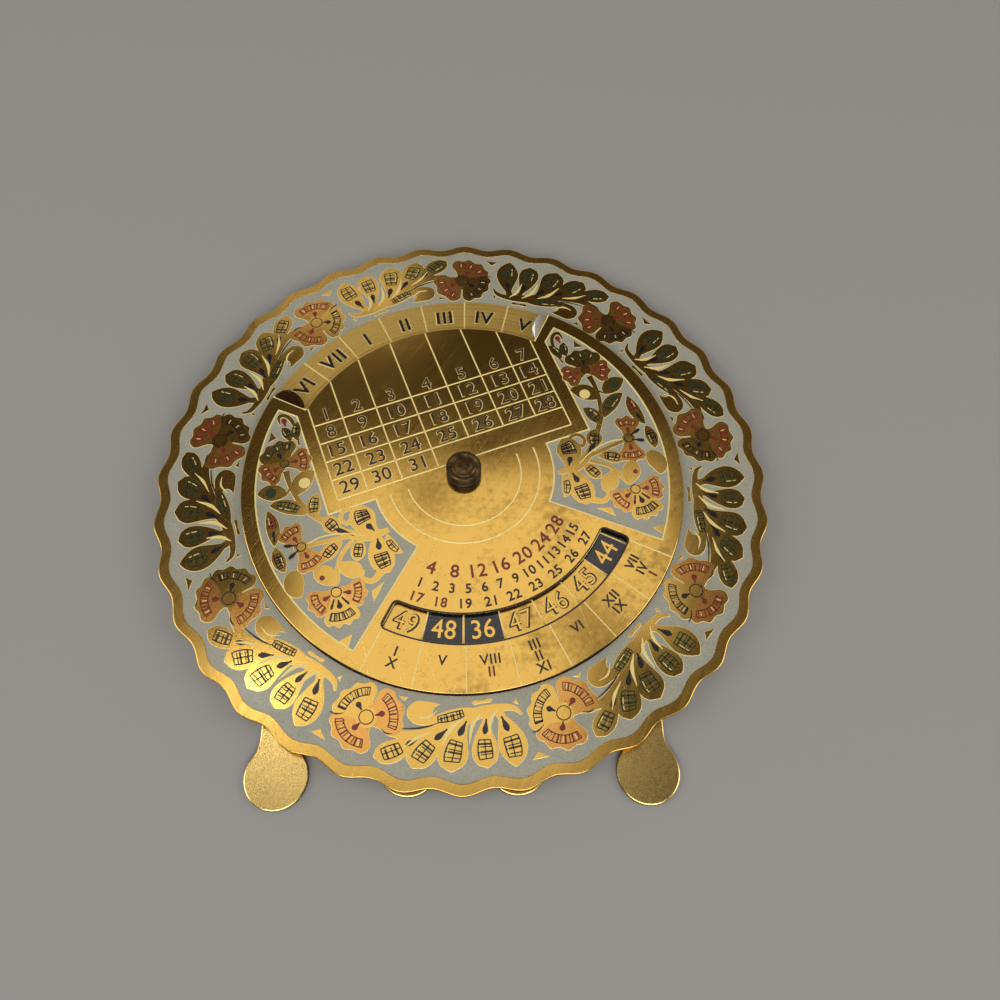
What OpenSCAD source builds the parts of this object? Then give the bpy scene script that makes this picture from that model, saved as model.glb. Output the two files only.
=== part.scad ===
// Perpetual desk calendar: a scalloped brass plate with an enamelled border, a
// dial that turns on it, and a folding stand riveted behind it.
// It lies on its back with the stand folded. The pivot is on the Z axis, the
// resting plane is z = 0, and +Y runs from the feet to the top. Millimetres.

/* [Base plate] */
// Mean radius of the scalloped edge
plate_r = 60; // [57:0.5:64]
// Number of scallops round the edge
scallops = 36; // [24:4:48]
// Height of a scallop above the mean radius
scallop_h = 0.55; // [0.3:0.01:1.2]
// Thickness of the plate
plate_t = 0.9; // [0.8:0.05:1.4]
// Width of the bare metal rim outside the border enamel
rim_w = 2; // [1.5:0.1:3]
// Width of the enamelled border band
band_w = 14.1; // [11:0.1:15]
// Bare ring between the edge of the dial and the border enamel
band_step = 0.2; // [0.1:0.1:2]
// Depth of the enamel in the plate and the dial
enamel_t = 0.2; // [0.1:0.05:0.3]

/* [Dial] */
// How many calendar cells the dial is turned from upright as it lies here
rest_cells = 1.5; // [0:0.5:3]
// Angle that it is turned past those cells
rest_past = 0.8; // [-1:0.1:1]
// Thickness of the dial
dial_t = 0.6; // [0.5:0.05:0.8]
// Gap between the plate and the dial
dial_gap = 0.5; // [0.4:0.1:1.6]
// Depth of the weekday window, in from the dial's edge
window_h = 8.0; // [6:0.1:9]
// Width of the ring of month cells, outside the year slot
month_h = 9.0; // [7.5:0.1:9.5]
// Radial height of the year slot
slot_h = 5.4; // [4:0.1:6]
// Angle by which the year slot is longer than its cells at each end
slot_spare = 0.6; // [0:0.1:2]
// Corner radius of the year slot
slot_corner = 0.8; // [0.4:0.1:1.2]

/* [Dial panels] */
// Inner radius of the enamelled panels
panel_in_r = 17.8; // [16:0.1:20]
// Width of the bare rim outside the panels
panel_rim = 2.7; // [1.5:0.1:3]
// Angle between a panel's ends and the edges of the window and the slot
panel_inset = 3.5; // [2.5:0.5:5]
// Half width of the bare field that holds the date grid
field_half_w = 27.4; // [26:0.1:29]
// Height of the lower edge of that field above the pivot
field_low = 0.7; // [0:0.1:3]

/* [Finger tabs] */
// Length of a finger tab along the edge of the window
tab_l = 6.4; // [4:0.1:6.4]
// Height of a finger tab, along its slope
tab_h = 2.8; // [2:0.1:3]
// Angle of a finger tab above the dial
tab_slope = 65; // [50:1:85]

/* [Pivot] */
// Radius of the stud's shoulder, on which the dial turns
shoulder_r = 2.5; // [2:0.1:3]
// Radial running clearance of the dial on the shoulder
dial_fit = 0.05; // [0.02:0.01:0.08]
// Radius of the stud behind the shoulder
tail_r = 1.6; // [1.2:0.1:1.8]
// Radius of the stud's riveted rear head
tail_head_r = 2.6; // [2.2:0.1:3.2]
// Radius of the stud's front end, inside the knob
tenon_r = 1.5; // [1:0.1:1.7]
// Radius of the knob
knob_r = 3.45; // [3:0.05:3.8]
// Height of the knob
knob_h = 3; // [2:0.1:5]
// Height of the knob's domed top
knob_dome = 0.45; // [0.2:0.05:0.8]
// Width of the knob's chamfers
knob_chamfer = 0.25; // [0.1:0.05:0.4]
// Outer radius of the cupped spring washer under the dial
spring_washer_r = 6; // [4.5:0.1:8]
// Thickness of the spring washer's steel
spring_washer_t = 0.3; // [0.2:0.05:0.3]
// Outer radius of the rear washer
rear_washer_r = 4.2; // [3.5:0.1:5]
// Thickness of the rear washer
rear_washer_t = 0.4; // [0.3:0.05:0.5]

/* [Stand bracket] */
// Thickness of the sheet that the stand is made of
sheet_t = 0.8; // [0.6:0.05:1]
// Half width of the hub that is riveted to the plate
hub_half_w = 17; // [16:0.5:20]
// How far the hub and the arms reach below the pivot
hub_low = 7; // [6:0.5:9]
// Width of the arms from the hub to the front legs
arm_w = 10; // [8:0.5:12]
// Distance of each front foot from the middle
foot_x = 31.9; // [29:0.1:36]
// Width of a front leg
foot_leg_w = 6.8; // [6:0.1:8]
// Radius of a front foot
foot_r = 5.5; // [5:0.1:6.5]
// How far the front feet reach below the plate's mean radius
foot_drop = 2.1; // [1.5:0.1:5]
// Distance below the pivot where the front legs step back
step_y = 14; // [12:0.5:20]
// Length of that step
step_l = 4; // [3:0.5:6]
// Radius of the blend between a leg and its foot
foot_blend = 6; // [3:0.5:8]
// Corner radius of the sheet
sheet_corner = 2; // [1:0.1:3]

/* [Rivets] */
// Radius of a rivet's shank
rivet_r = 1; // [0.8:0.1:1.2]
// Radius of a rivet's countersunk front head
rivet_head_r = 1.8; // [1.5:0.1:2.2]
// Depth of the countersink
rivet_sink = 0.45; // [0.3:0.05:0.6]
// Distance of the rivets from the edges of the hub
rivet_edge = 4; // [3.5:0.5:5]

/* [Rear leg and hinge] */
// Distance of the hinge above the pivot
hinge_y = 24; // [22:0.5:28]
// Radius of the hinge pin
pin_r = 0.5; // [0.4:0.05:0.6]
// Radial running clearance of the leg on the pin
pin_fit = 0.05; // [0.02:0.01:0.08]
// Wall of the rolled knuckles
knuckle_wall = 0.65; // [0.6:0.05:0.9]
// Half length of the leg's knuckle
knuckle_half = 4.8; // [3.5:0.1:6]
// Length of each of the bracket's knuckles
side_knuckle = 7; // [5:0.5:7]
// Gap between neighbouring knuckles
knuckle_gap = 0.2; // [0.1:0.05:0.4]
// Thickness of the pin's heads
pin_head_t = 0.5; // [0.3:0.1:0.8]
// Radius of the pin's heads
pin_head_r = 0.9; // [0.7:0.05:1]
// Distance of each prong of the leg from the middle
prong_x = 9.4; // [9.2:0.1:10.4]
// Width of a prong
prong_w = 7.2; // [6:0.1:7.2]
// Radius of a prong's foot
prong_foot_r = 5.3; // [4.5:0.1:6]
// How far the prongs reach below the plate's mean radius
prong_drop = 0.2; // [0.1:0.1:3]
// Height of the leg's crossbar
crossbar_h = 10; // [6:0.5:12]
// Angle to which the leg swings out before its heel meets the plate
leg_open = 33; // [28:1:40]

/* [Hidden] */
$fn = 96;

brass = "goldenrod";
dark_brass = "darkgoldenrod";
pale_enamel = "gainsboro";
black_enamel = "black";

// Clearance of a piece that is fixed in its hole, and of an enamel fill
snug = 0.02;
// How far a cut runs past the face it opens
past = 1;
// Points of the edge's wave in each scallop, and of the slot's arcs and corners
wave_steps = 8;
long_steps = 45;
corner_steps = 5;

// Radii, from the plate's edge in
band_out_r = plate_r - rim_w;
band_in_r = band_out_r - band_w;
dial_r = band_in_r - band_step;
window_r = dial_r - window_h;
slot_out_r = dial_r - month_h;
slot_in_r = slot_out_r - slot_h;

// Levels, from the resting plane up
knuckle_r = pin_r + pin_fit + knuckle_wall;
hinge_z = knuckle_r;
plate_z = 2 * knuckle_r;
hub_z = plate_z - sheet_t;
plate_top = plate_z + plate_t;
dial_z = plate_top + dial_gap;
dial_top = dial_z + dial_t;
knob_gap = 0.05;
knob_z = dial_top + knob_gap;

// Calendar angles: 28 cells go round, and the window and the slot show a week's
cells = 28;
shown = 7;
cell_a = 360 / cells;
window_half = shown * cell_a / 2;
slot_half = window_half + slot_spare;
cells_turn = rest_cells * cell_a;
rest_turn = cells_turn + rest_past;

// Cells of the leap years, counted clockwise from the slot's right end: every
// fourth year of the cycle, in a cell that fits its weekdays
leap_cells = [0, 4, 5, 9, 13, 17, 22];
// Black cells reach under the dial by this much on each side of the slot
year_lap = 0.5;
// Bare line left between two year cells
year_line = 0.35;

// Spring washer
washer_play = 0.05;
spring_washer_h = dial_gap - washer_play;

// Panels
panel_out_r = dial_r - panel_rim;
panel_half = 90 - window_half - panel_inset;

// Finger tabs: how far a tab's root reaches into the dial's edge
tab_root = 0.15;
tab_set = 0.1;

// Knob
tenon_l = knob_h * 0.6;
knob_dome_r = (pow(knob_r, 2) + pow(knob_dome, 2)) / (2 * knob_dome);

// Stand
foot_y = -(plate_r + foot_drop - foot_r);
leg_out_x = foot_x + foot_leg_w / 2;
prong_y = -(plate_r + prong_drop - prong_foot_r);
rivet_x = hub_half_w - rivet_edge;
rivet_low_y = -hub_low + rivet_edge;
rivet_top_y = hinge_y - knuckle_r - rivet_edge - past;
rivet_tail_room = 0.3;
rivet_tail_h = hub_z - sheet_t - rivet_tail_room;
rivet_tail_r = rivet_r + 0.7;
rivet_grip = plate_top - rivet_sink - hub_z + rivet_tail_h;
hub_relief = 0.4;
knuckle_end = knuckle_half + knuckle_gap + side_knuckle;
stop_gap = 0.06;
heel_l = (plate_z - hinge_z - stop_gap + (hinge_z - sheet_t) * cos(leg_open))
         / sin(leg_open);
crossbar_top = hinge_y - knuckle_r - hub_relief;

// Unit vector at angle a
function unit(a) = [cos(a), sin(a)];

// A scalloped outline of mean radius r
module scalloped(r) {
    steps = scallops * wave_steps;
    polygon([for (i = [0 : steps - 1])
        let (a = i * 360 / steps) (r + scallop_h * cos(scallops * a)) * unit(a)]);
}

// A wedge that covers radius r, half degrees to each side of angle mid
module wedge(r, half, mid) {
    fan = 4;
    polygon(concat([[0, 0]], [for (i = [-fan : fan])
        1.3 * r * unit(mid + half * i / fan)]));
}

// Part of a ring, half degrees to each side of angle mid
module ring_sector(r1, r2, half, mid) {
    intersection() {
        difference() {
            circle(r = r2);
            circle(r = r1);
        }
        wedge(r2, half, mid);
    }
}

// Points of an arc round centre, from angle a0 to a1
function arc(centre, r, a0, a1, steps) =
    [for (i = [0 : steps]) centre + r * unit(a0 + (a1 - a0) * i / steps)];

// A ring sector with its four corners rounded to radius c
module round_sector(r1, r2, half, mid, c) {
    in_turn = half - asin(c / (r1 + c));
    out_turn = half - asin(c / (r2 - c));
    centre = [0, 0];
    polygon(concat(
        arc(centre, r2, mid - out_turn, mid + out_turn, long_steps),
        arc((r2 - c) * unit(mid + out_turn), c, mid + out_turn, mid + half + 90, corner_steps),
        arc((r1 + c) * unit(mid + in_turn), c, mid + half + 90, mid + in_turn + 180, corner_steps),
        arc(centre, r1, mid + in_turn, mid - in_turn, long_steps),
        arc((r1 + c) * unit(mid - in_turn), c, mid - in_turn + 180, mid - half + 270, corner_steps),
        arc((r2 - c) * unit(mid - out_turn), c, mid - half - 90, mid - out_turn, corner_steps)));
}

// A rectangle from corner to corner with rounded corners
module round_rect(low, high, c) {
    size = high - low;
    translate(low + [c, 0]) square([size[0] - 2 * c, size[1]]);
    translate(low + [0, c]) square([size[0], size[1] - 2 * c]);
    for (x = [low[0] + c, high[0] - c], y = [low[1] + c, high[1] - c])
        translate([x, y]) circle(r = c, $fn = 24);
}

// A round foot at the origin and its leg, which runs up +Y for reach
module spoon(foot, leg_w, blend, reach) {
    cx = leg_w / 2 + blend;
    cy = sqrt(pow(foot + blend, 2) - pow(cx, 2));
    circle(r = foot);
    translate([-leg_w / 2, 0]) square([leg_w, reach]);
    for (side = [0, 1]) mirror([side, 0])
        difference() {
            polygon([[0, 0], [cx, cy], [0, cy]]);
            translate([cx, cy]) circle(r = blend);
        }
}

// The two lower rivet places, then the two upper ones, left before right
function rivet_place(right, upper) =
    [right ? rivet_x : -rivet_x, upper ? rivet_top_y : rivet_low_y];

module rivet_holes() {
    for (right = [false, true], upper = [false, true])
        translate(rivet_place(right, upper)) {
            translate([0, 0, -past]) cylinder(r = rivet_r + snug, h = plate_top + 2 * past);
            translate([0, 0, plate_top - rivet_sink])
                cylinder(r1 = rivet_r + snug, r2 = rivet_head_r + snug, h = rivet_sink + snug / 10);
        }
}

// One leap year's cell on the plate, seen through the year slot
module year_cell(index, grow) {
    line_half = year_line / 2 / slot_in_r * 180 / PI;
    right_end = -90 + window_half;
    ring_sector(slot_in_r - year_lap - grow, slot_out_r + year_lap + grow,
                cell_a / 2 - line_half, right_end - (index + 0.5) * cell_a + cells_turn);
}

module base_plate() {
    color(brass) difference() {
        translate([0, 0, plate_z]) linear_extrude(plate_t) scalloped(plate_r);
        translate([0, 0, plate_top - enamel_t]) linear_extrude(enamel_t + past)
            difference() {
                scalloped(band_out_r);
                circle(r = band_in_r);
            }
        translate([0, 0, plate_top - enamel_t]) linear_extrude(enamel_t + past)
            for (index = leap_cells) year_cell(index, 0);
        translate([0, 0, plate_z - past]) cylinder(r = tail_r + snug, h = plate_t + 2 * past);
        rivet_holes();
    }
}

module border_enamel() {
    color(pale_enamel) translate([0, 0, plate_top - enamel_t])
        linear_extrude(enamel_t - snug) difference() {
            scalloped(band_out_r - snug);
            circle(r = band_in_r + snug);
        }
}

module leap_year_enamel() {
    color(black_enamel) translate([0, 0, plate_top - enamel_t])
        linear_extrude(enamel_t - snug) for (index = leap_cells) year_cell(index, -snug);
}

// The right-hand enamelled panel of an upright dial, shrunk by gap
module panel(gap) {
    difference() {
        ring_sector(panel_in_r + gap, panel_out_r - gap, panel_half, 0);
        translate([0, field_low - gap]) square([field_half_w + gap, dial_r]);
    }
}

// The finger tab at the right-hand end of the window of an upright dial
module finger_tab() {
    arc_r = (pow(tab_l / 2, 2) + pow(tab_h, 2)) / (2 * tab_h);
    rotate(90 - window_half)
        translate([(window_r + dial_r) / 2, -tab_set, dial_z + dial_t / 2])
            rotate([tab_slope, 0, 0]) translate([0, 0, -dial_t / 2])
                linear_extrude(dial_t) intersection() {
                    translate([0, tab_h - arc_r]) circle(r = arc_r);
                    translate([-tab_l / 2, -tab_root]) square([tab_l, tab_root + tab_h + past]);
                }
}

module dial_plate() {
    color(brass) rotate(rest_turn) {
        difference() {
            translate([0, 0, dial_z]) cylinder(r = dial_r, h = dial_t, $fn = 180);
            translate([0, 0, dial_z - past]) cylinder(r = shoulder_r + dial_fit, h = dial_t + 2 * past);
            translate([0, 0, dial_z - past]) linear_extrude(dial_t + 2 * past) {
                ring_sector(window_r, dial_r + past, window_half, 90);
                round_sector(slot_in_r, slot_out_r, slot_half, -90, slot_corner);
            }
            translate([0, 0, dial_top - enamel_t]) linear_extrude(enamel_t + past)
                for (side = [0, 1]) mirror([side, 0]) panel(0);
        }
        for (side = [0, 1]) mirror([side, 0, 0]) finger_tab();
    }
}

// A panel's enamel fill; side is 0 for the right and 1 for the left
module panel_enamel(side) {
    color(pale_enamel) rotate(rest_turn) mirror([side, 0, 0])
        translate([0, 0, dial_top - enamel_t]) linear_extrude(enamel_t - snug) panel(snug);
}

module left_panel_enamel() {
    panel_enamel(1);
}

module right_panel_enamel() {
    panel_enamel(0);
}

module knob() {
    color(dark_brass) translate([0, 0, knob_z]) difference() {
        intersection() {
            rotate_extrude() polygon([
                [0, 0], [knob_r - knob_chamfer, 0], [knob_r, knob_chamfer],
                [knob_r, knob_h - knob_dome - knob_chamfer],
                [knob_r - knob_chamfer, knob_h - knob_dome + knob_chamfer],
                [knob_r - knob_chamfer, knob_h], [0, knob_h]]);
            translate([0, 0, knob_h - knob_dome_r]) sphere(r = knob_dome_r);
        }
        translate([0, 0, -past]) cylinder(r = tenon_r + snug, h = tenon_l + snug + past);
    }
}

module pivot_stud() {
    color(brass) {
        cylinder(r = tail_head_r, h = hub_z - rear_washer_t);
        cylinder(r = tail_r, h = plate_top);
        translate([0, 0, plate_top]) cylinder(r = shoulder_r, h = knob_z - plate_top);
        translate([0, 0, knob_z]) cylinder(r = tenon_r, h = tenon_l);
    }
}

module washer(z, bore_r, out_r, t) {
    translate([0, 0, z]) difference() {
        cylinder(r = out_r, h = t);
        translate([0, 0, -past]) cylinder(r = bore_r, h = t + 2 * past);
    }
}

module spring_washer() {
    bore_r = shoulder_r + dial_fit;
    color("silver") translate([0, 0, plate_top]) rotate_extrude() polygon([
        [bore_r, spring_washer_h - spring_washer_t], [spring_washer_r, 0],
        [spring_washer_r, spring_washer_t], [bore_r, spring_washer_h]]);
}

module rear_washer() {
    color(dark_brass) washer(hub_z - rear_washer_t, tail_r + snug, rear_washer_r, rear_washer_t);
}

// A rivet with a flush countersunk head in the plate and a flat tail on the hub
module rivet(right, upper) {
    color(dark_brass) translate(rivet_place(right, upper)) {
        translate([0, 0, hub_z - rivet_tail_h]) cylinder(r = rivet_tail_r, h = rivet_tail_h);
        translate([0, 0, hub_z - rivet_tail_h]) cylinder(r = rivet_r, h = rivet_grip);
        translate([0, 0, plate_top - rivet_sink])
            cylinder(r1 = rivet_r, r2 = rivet_head_r, h = rivet_sink);
    }
}

module upper_left_rivet() {
    rivet(false, true);
}

module upper_right_rivet() {
    rivet(true, true);
}

module lower_left_rivet() {
    rivet(false, false);
}

module lower_right_rivet() {
    rivet(true, false);
}

// A bar along X for the hinge, from x to x + length
module hinge_bar(x, length, r) {
    translate([x, hinge_y, hinge_z]) rotate([0, 90, 0]) cylinder(r = r, h = length, $fn = 48);
}

// One front leg: flat at the hub's level, a step back, then the foot on z = 0
module front_leg(side) {
    mirror([side, 0, 0]) {
        translate([foot_x, foot_y, 0]) linear_extrude(sheet_t)
            spoon(foot_r, foot_leg_w, foot_blend, -foot_y - step_y - step_l);
        translate([foot_x - foot_leg_w / 2, 0, 0]) rotate([90, 0, 90])
            linear_extrude(foot_leg_w) polygon([
                [-step_y - step_l, 0], [-step_y - step_l, sheet_t],
                [-step_y, hub_z + sheet_t], [-step_y, hub_z]]);
        translate([0, 0, hub_z]) linear_extrude(sheet_t)
            translate([foot_x - foot_leg_w / 2, -step_y])
                square([foot_leg_w, step_y - hub_low + sheet_corner]);
    }
}

module stand_bracket() {
    color(brass) difference() {
        union() {
            translate([0, 0, hub_z]) linear_extrude(sheet_t) {
                round_rect([-hub_half_w, -hub_low], [hub_half_w, crossbar_top], sheet_corner);
                translate([-knuckle_end, 0]) square([2 * knuckle_end, hinge_y]);
                round_rect([-leg_out_x, -hub_low], [leg_out_x, arm_w - hub_low], sheet_corner);
            }
            for (side = [0, 1]) front_leg(side);
            hinge_bar(-knuckle_end, 2 * knuckle_end, knuckle_r);
        }
        translate([-knuckle_half - knuckle_gap, crossbar_top, -past])
            cube([2 * (knuckle_half + knuckle_gap), 2 * knuckle_r + 2 * hub_relief, plate_z + 2 * past]);
        hinge_bar(-knuckle_end - past, 2 * (knuckle_end + past), pin_r + snug);
        translate([0, 0, hub_z - past]) cylinder(r = tail_r + snug, h = sheet_t + 2 * past);
        rivet_holes();
    }
}

module rear_leg() {
    color(brass) difference() {
        union() {
            linear_extrude(sheet_t) {
                for (side = [0, 1]) mirror([side, 0])
                    translate([prong_x, prong_y])
                        spoon(prong_foot_r, prong_w, foot_blend, crossbar_top - crossbar_h / 2 - prong_y);
                round_rect([-prong_x - prong_w / 2, crossbar_top - crossbar_h],
                           [prong_x + prong_w / 2, crossbar_top], sheet_corner);
                translate([-knuckle_half, crossbar_top - crossbar_h / 2])
                    square([2 * knuckle_half, hinge_y + heel_l - crossbar_top + crossbar_h / 2]);
            }
            hinge_bar(-knuckle_half, 2 * knuckle_half, knuckle_r);
        }
        hinge_bar(-knuckle_half - past, 2 * (knuckle_half + past), pin_r + pin_fit);
    }
}

module hinge_pin() {
    color(dark_brass) {
        hinge_bar(-knuckle_end, 2 * knuckle_end, pin_r);
        hinge_bar(-knuckle_end - pin_head_t, pin_head_t, pin_head_r);
        hinge_bar(knuckle_end, pin_head_t, pin_head_r);
    }
}

base_plate();
border_enamel();
leap_year_enamel();
dial_plate();
left_panel_enamel();
right_panel_enamel();
knob();
pivot_stud();
spring_washer();
rear_washer();
stand_bracket();
upper_left_rivet();
upper_right_rivet();
lower_left_rivet();
lower_right_rivet();
rear_leg();
hinge_pin();
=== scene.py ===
"""A perpetual desk calendar of brass and enamel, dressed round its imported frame.

Every class below holds its sizes in millimetres, in the calendar's own frame:
the pivot is on the Z axis, the resting plane is z = 0 and +Y runs from the feet
to the top. A piece is brought to metres when it is finished.
"""
import logging
import math
from collections import defaultdict
from collections.abc import Callable, Sequence
from dataclasses import dataclass, field, replace
from enum import Enum

import bmesh
import bpy
from mathutils import Matrix, Vector
from mathutils.geometry import interpolate_bezier


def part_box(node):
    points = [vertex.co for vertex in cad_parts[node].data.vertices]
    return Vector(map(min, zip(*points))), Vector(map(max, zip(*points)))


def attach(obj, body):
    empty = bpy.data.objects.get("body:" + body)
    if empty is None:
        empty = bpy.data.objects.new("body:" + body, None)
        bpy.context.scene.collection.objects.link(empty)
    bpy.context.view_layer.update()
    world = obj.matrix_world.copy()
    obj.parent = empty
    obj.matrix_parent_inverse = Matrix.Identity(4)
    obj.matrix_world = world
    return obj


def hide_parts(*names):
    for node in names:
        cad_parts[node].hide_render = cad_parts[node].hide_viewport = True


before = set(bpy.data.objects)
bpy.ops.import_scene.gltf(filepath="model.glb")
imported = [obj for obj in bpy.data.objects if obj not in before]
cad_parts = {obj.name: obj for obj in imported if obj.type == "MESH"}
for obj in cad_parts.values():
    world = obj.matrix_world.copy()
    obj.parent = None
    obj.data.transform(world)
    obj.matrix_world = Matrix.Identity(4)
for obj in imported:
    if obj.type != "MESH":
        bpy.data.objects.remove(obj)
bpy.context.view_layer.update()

MM = 0.001
WELD = 1e-4  # points nearer than this are joined, in millimetres
NEAR = 0.01  # heights and radii nearer than this are the same, in millimetres
HANDLE = 0.36  # length of a curve's handles as a share of the way between its knots
log = logging.getLogger("calendar")

Outline = list[Vector]
Mesh = bmesh.types.BMesh
Socket = bpy.types.NodeSocket
Point = tuple[float, float]
Place = tuple[float, float, float]
Colour = tuple[float, float, float, float]


class Body(Enum):
    """The bodies that a piece can ride on."""

    BASE = "base"
    DIAL = "dial"
    LEG = "leg"


class Tone(Enum):
    """The kinds of surface in the ornament."""

    BRASS = "islands"
    # LINE: pale brass strokes and beads of painted highlight.
    LINE = "painted_highlight_lines"
    RED = "red_fills"
    BLACK = "black_fills"
    GREEN = "green_fills"
    TINT = "tinted_fills"


def linear(red: int, green: int, blue: int) -> Colour:
    """Turn an 8-bit screen colour into a linear colour."""
    parts = [channel / 255 for channel in (red, green, blue)]
    straight = [p / 12.92 if p <= 0.04045 else ((p + 0.055) / 1.055) ** 2.4 for p in parts]
    return (*straight, 1.0)


def polar(radius: float, degrees: float, z: float = 0.0) -> Vector:
    """Return the point at that radius and angle, at height z."""
    angle = math.radians(degrees)
    return Vector((radius * math.cos(angle), radius * math.sin(angle), z))


def polar_angle(point: Vector) -> float:
    """Return a point's angle round the pivot in degrees."""
    return math.degrees(math.atan2(point.y, point.x))


def aside(angle: float, middle: float) -> float:
    """Return how far an angle lies from a middle one, from -180 to 180 degrees."""
    return (angle - middle + 180) % 360 - 180


def arc(radius: float, start: float, end: float, steps: int, centre: Point = (0, 0)) -> Outline:
    """Return steps + 1 points of an arc from angle start to end, in degrees."""
    middle = Vector((*centre, 0))
    return [middle + polar(radius, start + (end - start) * i / steps) for i in range(steps + 1)]


def circle(radius: float, count: int, centre: Point = (0, 0)) -> Outline:
    """Return count points that stand evenly round a circle."""
    return arc(radius, 0, 360 - 360 / count, count - 1, centre)


def smooth_loop(points: Sequence[Sequence[float]], steps: int = 4) -> Outline:
    """Draw a closed smooth curve through points.

    Args:
        points: The points. One with a third value is a sharp corner.
        steps: Pieces of the curve between two points.

    Returns:
        The points of the curve, without the last one repeated.
    """
    knots = [Vector((p[0], p[1], 0)) for p in points]
    count = len(knots)
    ways = [(knots[(i + 1) % count] - knots[i - 1]).normalized() for i in range(count)]
    ways = [Vector() if len(points[i]) > 2 else ways[i] for i in range(count)]
    curve = []
    for i, knot in enumerate(knots):
        after = (i + 1) % count
        reach = (knots[after] - knot).length * HANDLE
        stretch = interpolate_bezier(
            knot, knot + ways[i] * reach, knots[after] - ways[after] * reach, knots[after], steps + 1
        )
        curve += stretch[:-1]
    return curve


# Shader node groups and finishes


class NodeKit:
    """A short way to write one node tree."""

    def __init__(self, tree: bpy.types.NodeTree) -> None:
        """Take the tree that the nodes go into."""
        self.tree = tree

    def node(self, kind: str, inputs: dict | None = None, **settings: object) -> bpy.types.Node:
        """Add a node.

        Args:
            kind: The node's type.
            inputs: A value or an output socket for each named input.
            **settings: The node's own properties.

        Returns:
            The new node.
        """
        made = self.tree.nodes.new(kind)
        for key, value in settings.items():
            setattr(made, key, value)
        for key, value in (inputs or {}).items():
            if isinstance(value, Socket):
                self.tree.links.new(value, made.inputs[key])
            else:
                made.inputs[key].default_value = value
        return made

    def math(self, operation: str, first: object, second: object = 0.0) -> Socket:
        """Add a Math node and return its output."""
        return self.node("ShaderNodeMath", {0: first, 1: second}, operation=operation).outputs[0]

    def noise(self, vector: object, scale: object, detail: float = 3.0) -> Socket:
        """Add a Noise Texture and return its factor."""
        inputs = {"Vector": vector, "Scale": scale, "Detail": detail}
        return self.node("ShaderNodeTexNoise", inputs).outputs["Fac"]

    def ramp(self, value: object, low: object, high: object, start: object = 0.0,
             end: object = 1.0) -> Socket:
        """Map value from low..high to start..end, clamped, and return the result."""
        inputs = {"Value": value, "From Min": low, "From Max": high, "To Min": start, "To Max": end}
        return self.node("ShaderNodeMapRange", inputs).outputs[0]

    def mix(self, amount: object, first: object, second: object) -> Socket:
        """Mix two colours and return the result."""
        return self.node("ShaderNodeMix", {0: amount, 6: first, 7: second}, data_type="RGBA").outputs[2]

    def blend(self, share: float, first: object, second: object) -> Socket:
        """Add share of the first value to the rest of the second, and return the sum."""
        parts = (self.math("MULTIPLY", first, share), self.math("MULTIPLY", second, 1 - share))
        return self.math("ADD", *parts)

    def mask(self, value: object, amount: object, start: float, fall: float,
             soft: float) -> Socket:
        """Mask where a value is over start less fall times amount, with a soft edge."""
        low = self.math("SUBTRACT", start, self.math("MULTIPLY", amount, fall))
        return self.ramp(value, low, self.math("ADD", low, soft))

    def effect(self, tree: bpy.types.NodeTree, place: object, **values: float) -> Socket:
        """Place a shared effect, with a value for each of its inputs, and return its mask."""
        inputs = {"Place": place} | {key.capitalize(): value for key, value in values.items()}
        return self.node("ShaderNodeGroup", inputs, node_tree=tree).outputs[0]

    def bump(self, shader: bpy.types.Node, height: object, depth: float) -> None:
        """Give a shader a relief that is depth millimetres deep where height is 1."""
        relief = self.node("ShaderNodeBump", {"Height": height, "Strength": 1.0, "Distance": depth * MM})
        self.tree.links.new(relief.outputs[0], shader.inputs["Normal"])


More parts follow.
